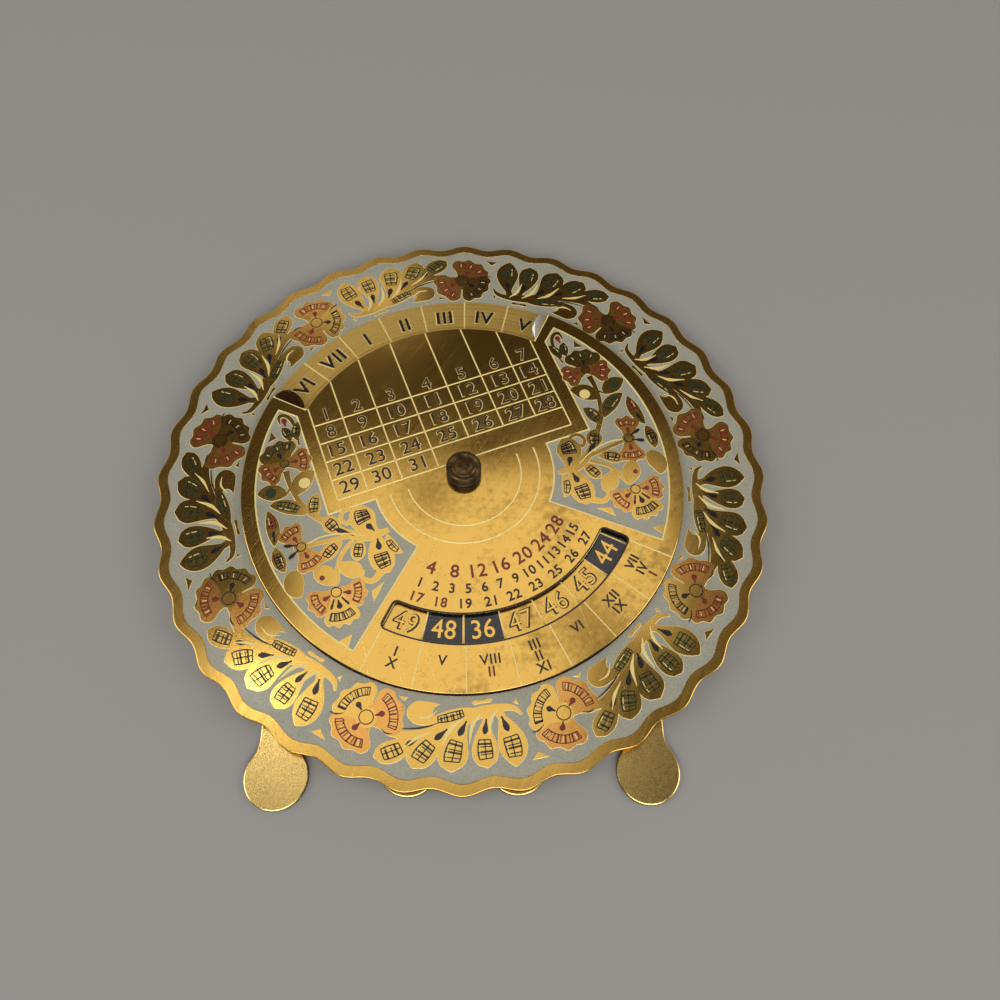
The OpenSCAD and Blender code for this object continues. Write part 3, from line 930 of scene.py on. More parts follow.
@dataclass
class Ornament:
    """Floral ornament, drawn flat and gathered by tone.

    Attributes:
        ground: Height of the enamel that it stands in.
        bend: Where a drawn point lies on the piece.
        island: Height of its brass islands above the ground.
        fill: Height of the coloured fills.
        line: Height of the fine raised lines.
        sunk: How far islands reach below the ground, and how far above it fills start.
        lip: Width of an island's sloping lip.
        slope: Height of that lip.
        thinnest: Least width of a brass ribbon.
        fine: Width of the fine lines.
        glint: Width of the strokes of painted highlight on leaves and petals.
        ring: Width of the dark ring round a flower's button.
        step: What each island lies above the one before, so that no two share a level.
        islands: How many islands there are.
        meshes: The mesh of each tone.
    """

    ground: float
    bend: Callable[[Vector], Vector]
    island: float = 0.05
    fill: float = 0.068
    line: float = 0.09
    sunk: float = 0.02
    lip: float = 0.09
    slope: float = 0.035
    thinnest: float = 0.36
    fine: float = 0.2
    glint: float = 0.15
    ring: float = 0.2
    step: float = 0.0006
    islands: int = 0
    meshes: dict[Tone, Mesh] = field(default_factory=lambda: defaultdict(bmesh.new))

    def add(self, tone: Tone, outline: Outline, lift: float = 0.0) -> None:
        """Add one closed shape.

        Args:
            tone: Its tone.
            outline: Its outline as drawn.
            lift: What it stands above its neighbours.
        """
        mesh = self.meshes[tone]
        bent = [self.bend(p) for p in outline]
        lift += self.step * self.islands
        if tone in METAL_TONES:
            self.islands += 1
            top = self.ground + self.island + lift
            plaque(mesh, bent, self.ground - self.sunk, top, self.lip, self.slope, 1)
        elif tone is Tone.LINE:
            plaque(mesh, bent, self.ground, self.ground + self.line + lift)
        else:
            plaque(mesh, bent, self.ground + self.sunk, self.ground + self.fill + lift)

    def stroke_line(self, start: Vector, end: Vector, width: float, tone: Tone, lift: float = 0.0) -> None:
        """Add a fine straight line."""
        way = (end - start).normalized() * (width / 2)
        side = Vector((-way.y, way.x, 0))
        self.add(tone, [start - side, end - side, end + side, start + side], lift)

    def ribbon(self, path: Sequence[Point], widths: Sequence[float], tone: Tone = Tone.BRASS,
               lift: float = 0.0) -> None:
        """Add a band of changing width along a smooth path.

        Args:
            path: The points that its middle line runs through.
            widths: Its width at each of them.
            tone: Its tone.
            lift: What it stands above its neighbours.
        """
        steps = 5
        knots = [Vector((*p, 0)) for p in path]
        widths = [max(w, self.thinnest) if tone is Tone.BRASS else w for w in widths]
        middle, spans = [], []
        for i, (knot, follows) in enumerate(zip(knots, knots[1:])):
            before = knots[max(i - 1, 0)]
            after = knots[min(i + 2, len(knots) - 1)]
            reach = (follows - knot).length * HANDLE
            first = knot + (follows - before).normalized() * reach
            second = follows - (after - knot).normalized() * reach
            middle += interpolate_bezier(knot, first, second, follows, steps + 1)[:-1]
            spans += [widths[i] + (widths[i + 1] - widths[i]) * j / steps for j in range(steps)]
        middle.append(knots[-1])
        spans.append(widths[-1])
        left, right = [], []
        for i, point in enumerate(middle):
            way = (middle[min(i + 1, len(middle) - 1)] - middle[max(i - 1, 0)]).normalized()
            side = Vector((-way.y, way.x, 0)) * (spans[i] / 2)
            left.append(point + side)
            right.append(point - side)
        self.add(tone, right + left[::-1], lift)

    def hair(self, path: Sequence[Point]) -> None:
        """Add a thin black line along a smooth path."""
        self.ribbon(path, [0.1, 0.3, 0.1], Tone.BLACK, 0.01)

    def chip(self, *corners: Point) -> None:
        """Add a small island with straight sides."""
        self.add(Tone.BRASS, smooth_loop([(*corner, 1) for corner in corners], 2))

    def drop(self, start: Point, end: Point, width: float, tone: Tone = Tone.BLACK) -> None:
        """Add a teardrop, pointed at start and round at end."""
        self.add(tone, Leaf(start, end, width, belly=0.72).outline(0, 1, 5))

    def bead(self, centre: Point, radius: float, tone: Tone) -> None:
        """Add a round bead."""
        self.add(tone, circle(radius, 12, centre))

    def leaf(self, *form: object, **more: object) -> None:
        """Add a leaf of these attributes, with its patch and seed."""
        leaf = Leaf(*form, **more)
        plain = replace(leaf, blunt=Leaf.blunt, neck=0.0)
        self.add(Tone.BRASS, leaf.outline(0, 1, 13), leaf.lift)
        if leaf.fill is not None:
            self.leaf_patch(plain)
        if leaf.seed:
            start, end = (plain.outline(t, t + 0.01, 1, 0.0)[0] for t in (0.12, 0.4))
            self.drop(start[:2], end[:2], leaf.width * 0.24)

    def leaf_patch(self, leaf: Leaf) -> None:
        """Add a leaf's patch: a rim, rungs across it, a line along it and two strokes of painted highlight.
        """
        share, glint_share, rim = 0.54, 0.4, 0.22
        low, high = (0.5, 0.84) if leaf.seed else (0.26, 0.8)
        patch = leaf.outline(low, high, 5, share)
        half = len(patch) // 2
        for i, point in enumerate(patch):
            self.stroke_line(patch[i - 1], point, rim, leaf.fill, leaf.lift)
        for i in range(1, leaf.rungs + 1):
            uneven = 0.18 * math.sin(3.7 * i + 5 * leaf.base[0])
            t = low + (high - low) * (i + uneven) / (leaf.rungs + 1)
            cut = leaf.outline(t, t + 0.01, 1, share)
            self.stroke_line(cut[0], cut[-1], self.fine + 0.16 * (i % 2), leaf.fill, leaf.lift)
        foot, head = (patch[0] + patch[-1]) / 2, (patch[half - 1] + patch[half]) / 2
        self.stroke_line(foot, head, self.fine, leaf.fill, leaf.lift)
        # Two strokes of painted highlight.
        for ends in ((0.32, 0.64), (0.74, 0.92)):
            glint = [leaf.outline(low + (high - low) * t, 0.95, 1, glint_share)[0] for t in ends]
            self.stroke_line(*glint, self.glint, Tone.LINE)

    def petal(self, centre: Point, facing: float, length: float, spread: float, fill: Tone, bars: int,
              lobes: int = 3, seed: Tone = Tone.RED) -> None:
        """Add a fan-shaped petal with a row of bars, three strokes of painted highlight and a seed.

        Args:
            centre: The middle of the flower.
            facing: Direction of the petal in degrees.
            length: Its length.
            spread: Half of its opening in degrees.
            fill: Tone of the row of bars.
            bars: Number of bars in that row.
            lobes: Waves of its outer edge.
            seed: Tone of the seed near the middle.
        """
        middle = Vector((*centre, 0))
        knots = [(length * 0.15, 180.0), (length * 0.42, -spread * 1.12), (length * 0.78, -spread * 1.06)]
        for i in range(lobes):
            crest = spread * (2 * (i + 0.5) / lobes - 1)
            knots.append((length * (1 - 0.07 * abs(crest / spread)), crest * 1.02))
            if i < lobes - 1:
                knots.append((length * 0.9, spread * (2 * (i + 1) / lobes - 1)))
        knots += [(length * 0.78, spread * 1.06), (length * 0.42, spread * 1.12)]
        rim = [middle + polar(reach, facing + turn) for reach, turn in knots]
        self.add(Tone.TINT if fill is Tone.RED else Tone.BRASS, smooth_loop([p[:2] for p in rim], 3))
        inner, outer, half = length * 0.58, length * 0.79, spread * 0.76
        row = arc(outer, facing - half, facing + half, 8, centre)
        row += arc(inner, facing + half, facing - half, 8, centre)
        for i, point in enumerate(row):
            self.stroke_line(row[i - 1], point, self.fine, fill)
        for i in range(bars):
            uneven = 0.16 * math.sin(4.1 * i + facing)
            ray = facing - half + 2 * half * (i + 0.5 + uneven) / bars
            reach = outer * (0.985 + 0.03 * math.sin(2.6 * i + facing))
            bar = (middle + polar(inner, ray), middle + polar(reach, ray))
            self.stroke_line(*bar, self.fine + 0.12 * (i % 2), fill)
        # Three strokes of painted highlight.
        for share in (-0.7, 0.1, 0.8):
            glint = [middle + polar(length * reach, facing + share * half) for reach in (0.62, 0.74)]
            self.stroke_line(*glint, self.glint, Tone.LINE)
        start, end = (middle + polar(length * reach, facing) for reach in (0.22, 0.47))
        self.drop(start[:2], end[:2], length * 0.16, seed)

    def eye(self, centre: Point, radius: float) -> None:
        """Add the round eye of a flower, a dark ring round a brass button."""
        self.bead(centre, radius, Tone.BLACK)
        button = [self.bend(p) for p in circle(radius - self.ring, 12, centre)]
        top = self.ground + self.line + self.step * self.islands
        plaque(self.meshes[Tone.BRASS], button, self.ground, top)

    def pieces(self, bench: Bench, prefix: str, body: Body, turn: float = 0.0, repeats: int = 1) -> None:
        """Finish the ornament as one piece for each tone.

        Args:
            bench: The bench.
            prefix: The start of their names.
            body: Their body.
            turn: Their turn round the pivot in degrees.
            repeats: How many times the drawing goes round the pivot.
        """
        for tone, mesh in self.meshes.items():
            if repeats > 1:
                full = 360 * (repeats - 1) / repeats
                everything = list(mesh.verts) + list(mesh.edges) + list(mesh.faces)
                bmesh.ops.spin(mesh, geom=everything, axis=(0, 0, 1), cent=(0, 0, 0),
                               angle=math.radians(full), steps=repeats - 1, use_duplicate=True)
            finishes = [TONE_FINISH[tone]]
            # Painted highlight: the sloping lip of a brass island takes the pale line brass.
            if tone in METAL_TONES:
                finishes.append(HIGHLIGHT_LINE_BRASS)
            slot = TONE_SLOT.get(tone, BRASS_SLOTS[body])
            bench.piece(mesh, f"{prefix}_{tone.value}", body, finishes, turn, weld=False)


# The calendar


@dataclass
class Calendar:
    """What the plate and the dial share: the cells of the 28-year cycle.

    Attributes:
        cells: Cells round the calendar.
        rest_cells: Cells that the dial is turned from upright.
        rest_past: Angle that it is turned past those cells.
        shown: Cells that the window and the slot show.
    """

    cells: int = 28
    rest_cells: float = 1.5
    rest_past: float = 0.8
    shown: int = 7

    @property
    def cell(self) -> float:
        """Return the angle of one cell in degrees."""
        return 360 / self.cells

    @property
    def turn(self) -> float:
        """Return the angle that the cells in the window are turned by."""
        return self.rest_cells * self.cell

    @property
    def dial_turn(self) -> float:
        """Return the angle that the dial is turned by as it lies."""
        return self.turn + self.rest_past

    @property
    def half(self) -> float:
        """Return half the angle of the window."""
        return self.shown * self.cell / 2


@dataclass
class BasePlate:
    """The scalloped plate with its border, weekdays and years.

    Attributes:
        calendar: The cells.
        scallops: Number of scallops round the edge.
        scallop_h: Height of a scallop above the mean radius.
        rim_w: Width of the bare rim.
        band_w: Width of the enamelled band.
        edge: Radius of the plate's edges.
        enamel_t: Depth of the enamel.
        bore_r: Radius of the hole for the pivot.
        week_r: Radii of the weekday cells.
        groove_r: Inner radius of the ring of painted shade under the dial's edge.
        week_text_r: Radius of the weekday numerals.
        week_text_h: Height of the weekday numerals.
        year_r: Radii of the black year cells.
        year_text_r: Radius of the year numbers.
        year_text_h: Height of the year numbers.
        leap_cells: Cells of the leap years, clockwise from the slot's right end.
        years: The year numbers in the same order.
        first_week: The weekday in the cell at the window's left end.
        segments: Pieces of the plate's edge.
    """

    calendar: Calendar
    scallops: int = 36
    scallop_h: float = 0.55
    rim_w: float = 2.0
    band_w: float = 14.1
    edge: float = 0.22
    enamel_t: float = 0.2
    bore_r: float = 1.62
    week_r: Point = (35.5, 43.1)
    groove_r: float = 43.15
    week_text_r: float = 39.7
    week_text_h: float = 3.1
    year_r: Point = (28.8, 35.2)
    year_text_r: float = 31.9
    year_text_h: float = 3.5
    leap_cells: tuple[int, ...] = (0, 4, 5, 9, 13, 17, 22)
    years: tuple[int, ...] = (44, 45, 46, 47, 36, 48, 49, 50, 51, 40, 41, 42, 43, 32,
                              33, 34, 35, 24, 25, 26, 27, 39, 28, 29, 30, 31, 37, 38)
    first_week: int = 5
    segments: int = 1008

    def __post_init__(self) -> None:
        """Take the levels and the radius from the frame."""
        low, high = bounds_mm("base_plate")
        self.bottom, self.top = low.z, high.z
        self.radius = high.x - self.scallop_h
        self.band_out = self.radius - self.rim_w
        self.band_in = self.band_out - self.band_w

    def year_angle(self, index: int) -> float:
        """Return the angle of a year's cell."""
        return self.calendar.half - 90 - (index + 0.5) * self.calendar.cell + self.calendar.turn

    def in_window(self, angle: float) -> bool:
        """Return whether the window shows this angle as the dial lies."""
        return abs(aside(angle, 90 + self.calendar.turn)) < self.calendar.half - 1

    def build(self, bench: Bench) -> None:
        """Build the plate and what is on it."""
        self.plate(bench)
        self.dividers(bench)
        self.year_margin(bench)
        self.weekdays(bench)
        self.year_numbers(bench)
        self.border(bench)
        bench.dress("border_enamel", PALE_ENAMEL)
        bench.dress("leap_year_enamel", BLACK_ENAMEL)

    def plate(self, bench: Bench) -> None:
        """Spin the plate, wave its rim, sink its pockets and paint shade on its walls and under the dial's
        edge.
        """
        top, bottom, e, small = self.top, self.bottom, self.edge, 0.05
        floor = top - self.enamel_t
        profile = [(self.bore_r, bottom)]
        profile += [(radius, top) for radius in (self.bore_r, *self.year_r, self.groove_r)]
        profile += rounded(small, 90, 0, (self.band_in - small, top - small))
        profile += [(self.band_in, floor), (self.band_out, floor)]
        profile += rounded(small, 180, 90, (self.band_out + small, top - small))
        profile += rounded(e, 90, 0, (self.radius - e, top - e), 4)
        profile += rounded(e, 0, -90, (self.radius - e, bottom + e), 4)
        mesh = spun(profile, self.segments)
        for vert in mesh.verts:
            radius = math.hypot(vert.co.x, vert.co.y)
            if radius > self.band_out - NEAR:
                wave = self.scallop_h * math.cos(self.scallops * math.atan2(vert.co.y, vert.co.x))
                vert.co.xy *= (radius + wave) / radius
        for index in self.leap_cells:
            raise_region(mesh, self.cell_faces(mesh, index), -self.enamel_t, False)
        # Painted shade: outside the window, the ring under the dial's edge takes the dark wall finish; the
        # rest takes the weekday ring's finish.
        for face, centre in self.top_faces(mesh, self.year_r[1], self.band_in):
            shaded = math.hypot(*centre.xy) > self.groove_r and not self.in_window(polar_angle(centre))
            face.material_index = 1 if shaded else 2
        darken_walls(mesh)
        bench.piece(mesh, "scalloped_plate", Body.BASE, [PLATE_BRASS, SHADE_BRASS, WEEK_BRASS],
                    replaces=["base_plate"], weld=False)

    def top_faces(self, mesh: Mesh, inner: float, outer: float) -> list:
        """Find the level faces of the plate's top between two radii."""
        level = 0.9
        found = []
        for face in mesh.faces:
            centre = face.calc_center_median()
            on_top = face.normal.z > level and centre.z > self.top - NEAR
            if on_top and inner < math.hypot(*centre.xy) < outer:
                found.append((face, centre))
        return found

    def cell_faces(self, mesh: Mesh, index: int) -> list:
        """Find the plate's top faces inside one black year cell."""
        middle = self.year_angle(index)
        reach = self.calendar.cell / 2 - 360 / self.segments
        return [face for face, centre in self.top_faces(mesh, *self.year_r)
                if abs(aside(polar_angle(centre), middle)) < reach]

    def dividers(self, bench: Bench) -> None:
        """Raise the thin lines between the weekday cells and between the year cells."""
        week_size, year_size, gap = (0.44, 0.07), (0.3, 0.05), 0.05
        mesh = bmesh.new()
        for i in range(self.calendar.cells):
            angle = i * self.calendar.cell + 90
            reach = self.band_in - gap if self.in_window(angle) else self.week_r[1]
            ridge_ray(mesh, self.week_r[0], reach, angle, self.top, *week_size)
            angle = self.year_angle(i) + self.calendar.cell / 2
            ridge_ray(mesh, *self.year_r, angle, self.top, *year_size)
        bench.piece(mesh, "cell_dividers", Body.BASE, [HIGHLIGHT_LINE_BRASS], weld=False)

    def year_margin(self, bench: Bench) -> None:
        """Lay the black margin of the cell at the slot's right end."""
        turns, root, height = (-0.2, 1.7), 0.05, 0.012
        low, high = (self.year_angle(0) + self.calendar.cell / 2 + turn for turn in turns)
        inner, outer = self.year_r
        mesh = bmesh.new()
        outline = arc(outer, low, high, 3) + arc(inner, high, low, 3)
        plaque(mesh, outline, self.top - root, self.top + height)
        bench.piece(mesh, "year_cell_margin", Body.BASE, [BLACK_ENAMEL], weld=False)

    def weekdays(self, bench: Bench) -> None:
        """Print the weekday numerals, each in a pale rim of painted highlight."""
        names = ("I", "II", "III", "IV", "V", "VI", "VII")
        edge_weight, ink_weight = (0.06, 0.2), (0.12, 0.1)
        edges, ink = bmesh.new(), bmesh.new()
        start = 90 + self.calendar.turn + self.calendar.half - self.calendar.cell / 2
        for i in range(self.calendar.cells):
            angle = start - i * self.calendar.cell
            text = names[(i + self.first_week) % len(names)]
            place = polar(self.week_text_r, angle, self.top)
            for mesh, weight in ((edges, edge_weight), (ink, ink_weight)):
                lettering(mesh, text, self.week_text_h, place, angle - 90, *weight)
        bench.piece(edges, "weekday_numeral_highlights", Body.BASE, [HIGHLIGHT_LINE_BRASS])
        bench.piece(ink, "weekday_numerals", Body.BASE, [BLACK_FILL])

    def year_numbers(self, bench: Bench) -> None:
        """Emboss the year numbers, dark on brass cells and bright on black ones."""
        edge_weight, face_weight, leap_weight, squeeze = (0.07, 0.15), (0.12, -0.05), (0.12, 0.03), 0.9
        dark, bright = bmesh.new(), bmesh.new()
        for i, year in enumerate(self.years):
            angle = self.year_angle(i)
            place = polar(self.year_text_r, angle, self.top)
            leap = i in self.leap_cells
            layers = [(bright, leap_weight)] if leap else [(dark, edge_weight), (bright, face_weight)]
            for mesh, weight in layers:
                lettering(mesh, str(year), self.year_text_h, place, angle + 90, *weight, squeeze)
        bench.piece(bright, "year_numbers_bright", Body.BASE, [ISLAND_BRASS])
        bench.piece(dark, "year_numbers_dark", Body.BASE, [BLACK_FILL])

    def border(self, bench: Bench) -> None:
        """Draw one of the nine repeats of the border and carry it round."""
        repeats = 9
        shift, squash = 0.15, 0.95
        middle = (self.band_in + self.band_out) / 2
        ground = bounds_mm("border_enamel")[1].z

        def bend(p: Vector) -> Vector:
            """Lay a point drawn along a straight band on the round one."""
            return polar(middle + shift + squash * p.y, 90 - math.degrees(p.x / middle))

        art = Ornament(ground, bend)
        self.border_spray(art)
        self.border_flower(art)
        art.pieces(bench, "border", Body.BASE, repeats=repeats)

    @staticmethod
    def border_flower(art: Ornament) -> None:
        """Draw the border's three-petalled flower."""
        centre = (-0.4, -1.0)
        art.petal(centre, 64, 6.8, 50, Tone.RED, 9, lobes=4)
        art.petal(centre, -36, 6.9, 51, Tone.BLACK, 10, lobes=4, seed=Tone.BLACK)
        art.petal(centre, 210, 7.2, 49, Tone.RED, 9)
        art.bead(centre, 2.0, Tone.BRASS)
        art.eye(centre, 1.4)
        art.hair([(3.6, -0.2), (4.8, 0.5), (5.9, 0.6)])
        art.hair([(-3.6, 0.2), (-4.6, 0.7), (-5.6, 0.5)])
        art.chip((4.2, 5.4), (7.0, 5.2), (5.8, 4.0))
        art.chip((7.1, -4.9), (8.0, -5.4), (7.3, -6.2))

    @staticmethod
    def border_spray(art: Ornament) -> None:
        """Draw the leaf spray that grows into the next flower."""
        art.ribbon([(6.9, -3.0), (8.0, -4.4), (10.6, -5.0), (13.8, -4.7), (17.0, -3.8), (20.4, -2.0),
                    (24.6, -0.4), (28.2, 0.4), (30.9, 0.3)],
                   [0.5, 1.1, 1.5, 2.2, 2.6, 2.4, 2.1, 1.8, 0.9], lift=0.004)
        art.leaf((11.2, -4.6), (9.6, 5.7), 4.9, 0.07, 0.62, blunt=0.7, neck=2.0)
        art.leaf((13.2, -4.4), (13.9, 5.3), 4.4, -0.06, 0.7, blunt=0.5, neck=1.9)
        art.leaf((16.4, -4.2), (19.6, 5.8), 5.0, -0.09, 0.72, lift=0.002, blunt=0.55, neck=2.0)
        art.leaf((19.6, -2.4), (25.6, 5.7), 4.7, -0.08, 0.7, blunt=0.5, neck=1.9)
        art.leaf((24.4, -0.4), (31.8, 5.2), 4.0, 0.02, 0.7, rungs=3, lift=0.002, blunt=0.55, neck=1.9)
        # Pale strokes of painted highlight between the leaves.
        art.ribbon([(11.2, -4.9), (12.7, -2.9), (13.2, -0.2)], [0.15, 0.7, 0.12], Tone.LINE)
        art.ribbon([(14.2, -4.5), (16.1, -2.3), (16.7, 1.0)], [0.15, 0.8, 0.12], Tone.LINE)
        art.ribbon([(17.9, -3.4), (20.0, -1.6), (21.4, 1.4)], [0.15, 0.75, 0.12], Tone.LINE)
        art.ribbon([(23.2, -1.0), (25.6, 0.4), (27.4, 2.4)], [0.12, 0.6, 0.1], Tone.LINE)
        art.hair([(21.6, -2.9), (25.0, -1.5), (28.6, -0.7)])
        art.leaf((15.6, -5.3), (24.2, -2.8), 2.7, 0.02, 0.5, rungs=7, seed=False, lift=0.003)
        art.add(Tone.BRASS, smooth_loop([(21.4, -2.7), (24.3, -2.0), (26.9, -2.1), (28.4, -3.8), (27.4, -5.9),
                                         (24.9, -6.3), (22.2, -6.1, 1), (23.6, -4.7), (22.6, -3.6)]))
        # A stroke of painted highlight on the curled leaf.
        art.ribbon([(22.7, -4.9), (24.4, -3.4), (26.5, -3.3)], [0.12, 0.4, 0.1], Tone.LINE)
        art.add(Tone.BRASS, smooth_loop([(12.0, -6.6), (14.0, -6.15), (16.1, -6.35), (14.0, -6.7)]))
        art.chip((29.4, -5.6), (30.7, -6.4), (28.7, -6.5))


@dataclass
class Dial:
    """The turning dial: its sheet, panels, date grid and month ring.

    Attributes:
        calendar: The cells.
        window_h: Depth of the weekday window.
        month_h: Width of the ring of month cells.
        slot_h: Radial height of the year slot.
        slot_spare: Angle by which the slot is longer than its cells at each end.
        slot_corner: Corner radius of the slot.
        bore_r: Radius of the hole for the pivot.
        edge: Radius of the sheet's edges.
        panel_in: Inner radius of the panels.
        panel_rim: Width of the bare rim outside the panels.
        panel_inset: Angle between a panel's ends and the edges of the window and the slot.
        field_half: Half width of the bare field.
        field_low: Height of its lower edge above the pivot.
        columns: Places of the grid's vertical lines.
        rows: Places of the grid's level lines.
        date_h: Height of the dates.
        date_drop: Distance from a level line down to the middle of the dates below it.
        tab_l: Length of a finger tab.
        tab_h: Height of a finger tab.
        tab_slope: Angle of a finger tab above the dial.
    """

    calendar: Calendar
    window_h: float = 8.0
    month_h: float = 9.0
    slot_h: float = 5.4
    slot_spare: float = 0.6
    slot_corner: float = 0.8
    bore_r: float = 2.55
    edge: float = 0.12
    panel_in: float = 17.8
    panel_rim: float = 2.7
    panel_inset: float = 3.5
    field_half: float = 27.4
    field_low: float = 0.7
    columns: tuple[float, ...] = (-25.0, -18.9, -11.8, -4.2, 3.75, 11.35, 18.45, 24.55)
    rows: tuple[float, ...] = (20.65, 16.15, 11.75, 7.45, 2.9)
    date_h: float = 2.8
    date_drop: float = 2.25
    tab_l: float = 6.8
    tab_h: float = 2.8
    tab_slope: float = 48.0

    def __post_init__(self) -> None:
        """Take the levels and the radius from the frame."""
        low, _ = bounds_mm("dial_plate")
        self.bottom = low.z
        proud = 0.02
        self.top = bounds_mm("left_panel_enamel")[1].z + proud
        self.radius = -low.y
        self.window_r = self.radius - self.window_h
        self.slot_out = self.radius - self.month_h
        self.slot_in = self.slot_out - self.slot_h
        self.panel_out = self.radius - self.panel_rim

    def build(self, bench: Bench) -> None:
        """Build the dial and what is on it."""
        self.plate(bench)
        self.slot_line(bench)
        for side, name in ((1, "right_panel_enamel"), (-1, "left_panel_enamel")):
            self.panel(bench, side, name)
        self.raised_lines(bench)
        self.dates(bench)
        self.months(bench)
        self.number_rows(bench)

    def finish(self, bench: Bench, mesh: Mesh, name: str, finishes: Sequence[Finish], slot: str,
               replaces: Sequence[str] = (), weld: bool = True) -> None:
        """Finish a mesh as a piece that turns with the dial."""
        bench.piece(mesh, name, Body.DIAL, finishes, self.calendar.dial_turn, replaces, weld)

    def slot_outline(self, grow: float) -> Outline:
        """Work out the outline of the year slot."""
        inner, outer = self.slot_in - grow, self.slot_out + grow
        c = self.slot_corner + grow
        half = self.calendar.half + self.slot_spare + math.degrees(grow / self.slot_out)
        low_turn = half - math.degrees(math.asin(c / (inner + c)))
        high_turn = half - math.degrees(math.asin(c / (outer - c)))
        corners = 4
        long_steps = 48
        loop = arc(outer, -90 - high_turn, -90 + high_turn, long_steps)
        loop += arc(c, -90 + high_turn, half, corners, polar(outer - c, -90 + high_turn)[:2])[1:]
        loop += arc(c, half, 90 + low_turn, corners, polar(inner + c, -90 + low_turn)[:2])
        loop += arc(inner, -90 + low_turn, -90 - low_turn, long_steps)[1:]
        loop += arc(c, 90 - low_turn, 180 - half, corners, polar(inner + c, -90 - low_turn)[:2])[1:]
        loop += arc(c, 180 - half, 270 - high_turn, corners, polar(outer - c, -90 - high_turn)[:2])[:-1]
        return loop

    def plate(self, bench: Bench) -> None:
        """Cut the dial's sheet and bend up its finger tabs."""
        half = self.calendar.half
        outline = arc(self.radius, 90 + half, 450 - half, 240)
        outline += arc(self.window_r, 90 - half, 90 + half, 90)
        bore = arc(self.bore_r, 0, 350, 35)
        mesh = bmesh.new()
        sheet(mesh, [outline, self.slot_outline(0), bore], self.bottom, self.top, self.edge)
        # Painted shade on the sheet's outer, window, slot and bore walls.
        darken_walls(mesh)
        for side in (1, -1):
            self.finger_tab(mesh, side)
        self.finish(bench, mesh, "dial_sheet", [DIAL_BRASS, SHADE_BRASS, REFLECTING_TAB, SHADED_TAB], "dial_brass",
                    ["dial_plate"])

    def finger_tab(self, mesh: Mesh, side: int) -> None:
        """Bend up the finger tab at one end of the window.

        Args:
            mesh: The dial's sheet.
            side: 1 for the right end of an upright dial, or -1 for the left one.
        """
        thick = self.top - self.bottom
        bow = ((self.tab_l / 2) ** 2 + self.tab_h ** 2) / (2 * self.tab_h)
        reach = math.degrees(math.asin(self.tab_l / 2 / bow))
        root, sunk, curl = 0.15, 0.1, 0.05
        outline = arc(bow, 90 - reach, 90 + reach, 20, (0, self.tab_h - bow))
        outline += [Vector((-self.tab_l / 2, -root, 0)), Vector((self.tab_l / 2, -root, 0))]
        tab = bmesh.new()
        sheet(tab, [outline], -thick / 2, thick / 2, self.edge)
        for vert in tab.verts:
            vert.co.z += curl * vert.co.y ** 2
        # The right tab takes the painted reflection, the left one the painted shade.
        for face in tab.faces:
            face.material_index = 2 if side > 0 else 3
        place = Matrix.Rotation(math.radians(90 - self.calendar.half), 4, "Z")
        place @= Matrix.Translation(((self.window_r + self.radius) / 2, -sunk, self.bottom + thick / 2))
        place @= Matrix.Rotation(math.radians(self.tab_slope), 4, "X")
        if side < 0:
            place = Matrix.Diagonal((-1, 1, 1, 1)) @ place
        pour(tab, mesh, place)

    def slot_line(self, bench: Bench) -> None:
        """Print the black line round the year slot."""
        grow, width, height, sunk, edge = 0.08, 0.28, 0.02, 0.03, 0.008
        mesh = bmesh.new()
        loops = [self.slot_outline(grow + width), self.slot_outline(grow)]
        sheet(mesh, loops, self.top - sunk, self.top + height, edge)
        self.finish(bench, mesh, "slot_outline", [BLACK_FILL], "black_enamel")

    def panel_outline(self, side: int) -> Outline:
        """Work out the outline of a panel of an upright dial."""
        half = 90 - self.calendar.half - self.panel_inset
        corner = self.field_half / math.cos(math.radians(half))
        low = math.degrees(math.asin(self.field_low / self.panel_in))
        loop = arc(self.panel_out, -half, half, 40)
        loop.append(polar(corner, half))
        loop.append(Vector((self.field_half, self.field_low, 0)))
        loop += arc(self.panel_in, low, -half, 20)
        return [Vector((side * p.x, p.y, 0)) for p in loop]

    def panel(self, bench: Bench, side: int, name: str) -> None:
        """Lay one enamelled panel in its raised outline and draw its flowers.

        Args:
            bench: The bench.
            side: 1 for the right panel of an upright dial, or -1 for the left one.
            name: The CAD node of its enamel.
        """
        root, rise, deep = 0.06, 0.07, 0.042
        line, bevel = 0.26, 0.06
        mesh = bmesh.new()
        outline = counter_clockwise(self.panel_outline(side))
        base = mesh.faces.new([mesh.verts.new((p.x, p.y, self.top - root)) for p in outline])
        top = raise_region(mesh, [base], root + rise)
        base.normal_flip()
        for width, depth in ((line, 0.0), (bevel, -deep)):
            bmesh.ops.inset_region(mesh, faces=top, thickness=width, depth=depth, use_boundary=True,
                                   use_even_offset=True)
        for face in mesh.faces:
            face.material_index = int(face != top[0])
        self.finish(bench, mesh, name.replace("enamel", "field"), [PALE_ENAMEL, HIGHLIGHT_LINE_BRASS], "pale_enamel",
                    [name])

        def bend(p: Vector) -> Vector:
            """Mirror a drawn point to this panel's side."""
            return Vector((side * p.x, p.y, 0))

        art = Ornament(self.top + rise - deep, bend)
        self.panel_stems(art)
        self.panel_leaves(art)
        self.panel_flowers(art)
        art.pieces(bench, name.replace("_enamel", ""), Body.DIAL, self.calendar.dial_turn)

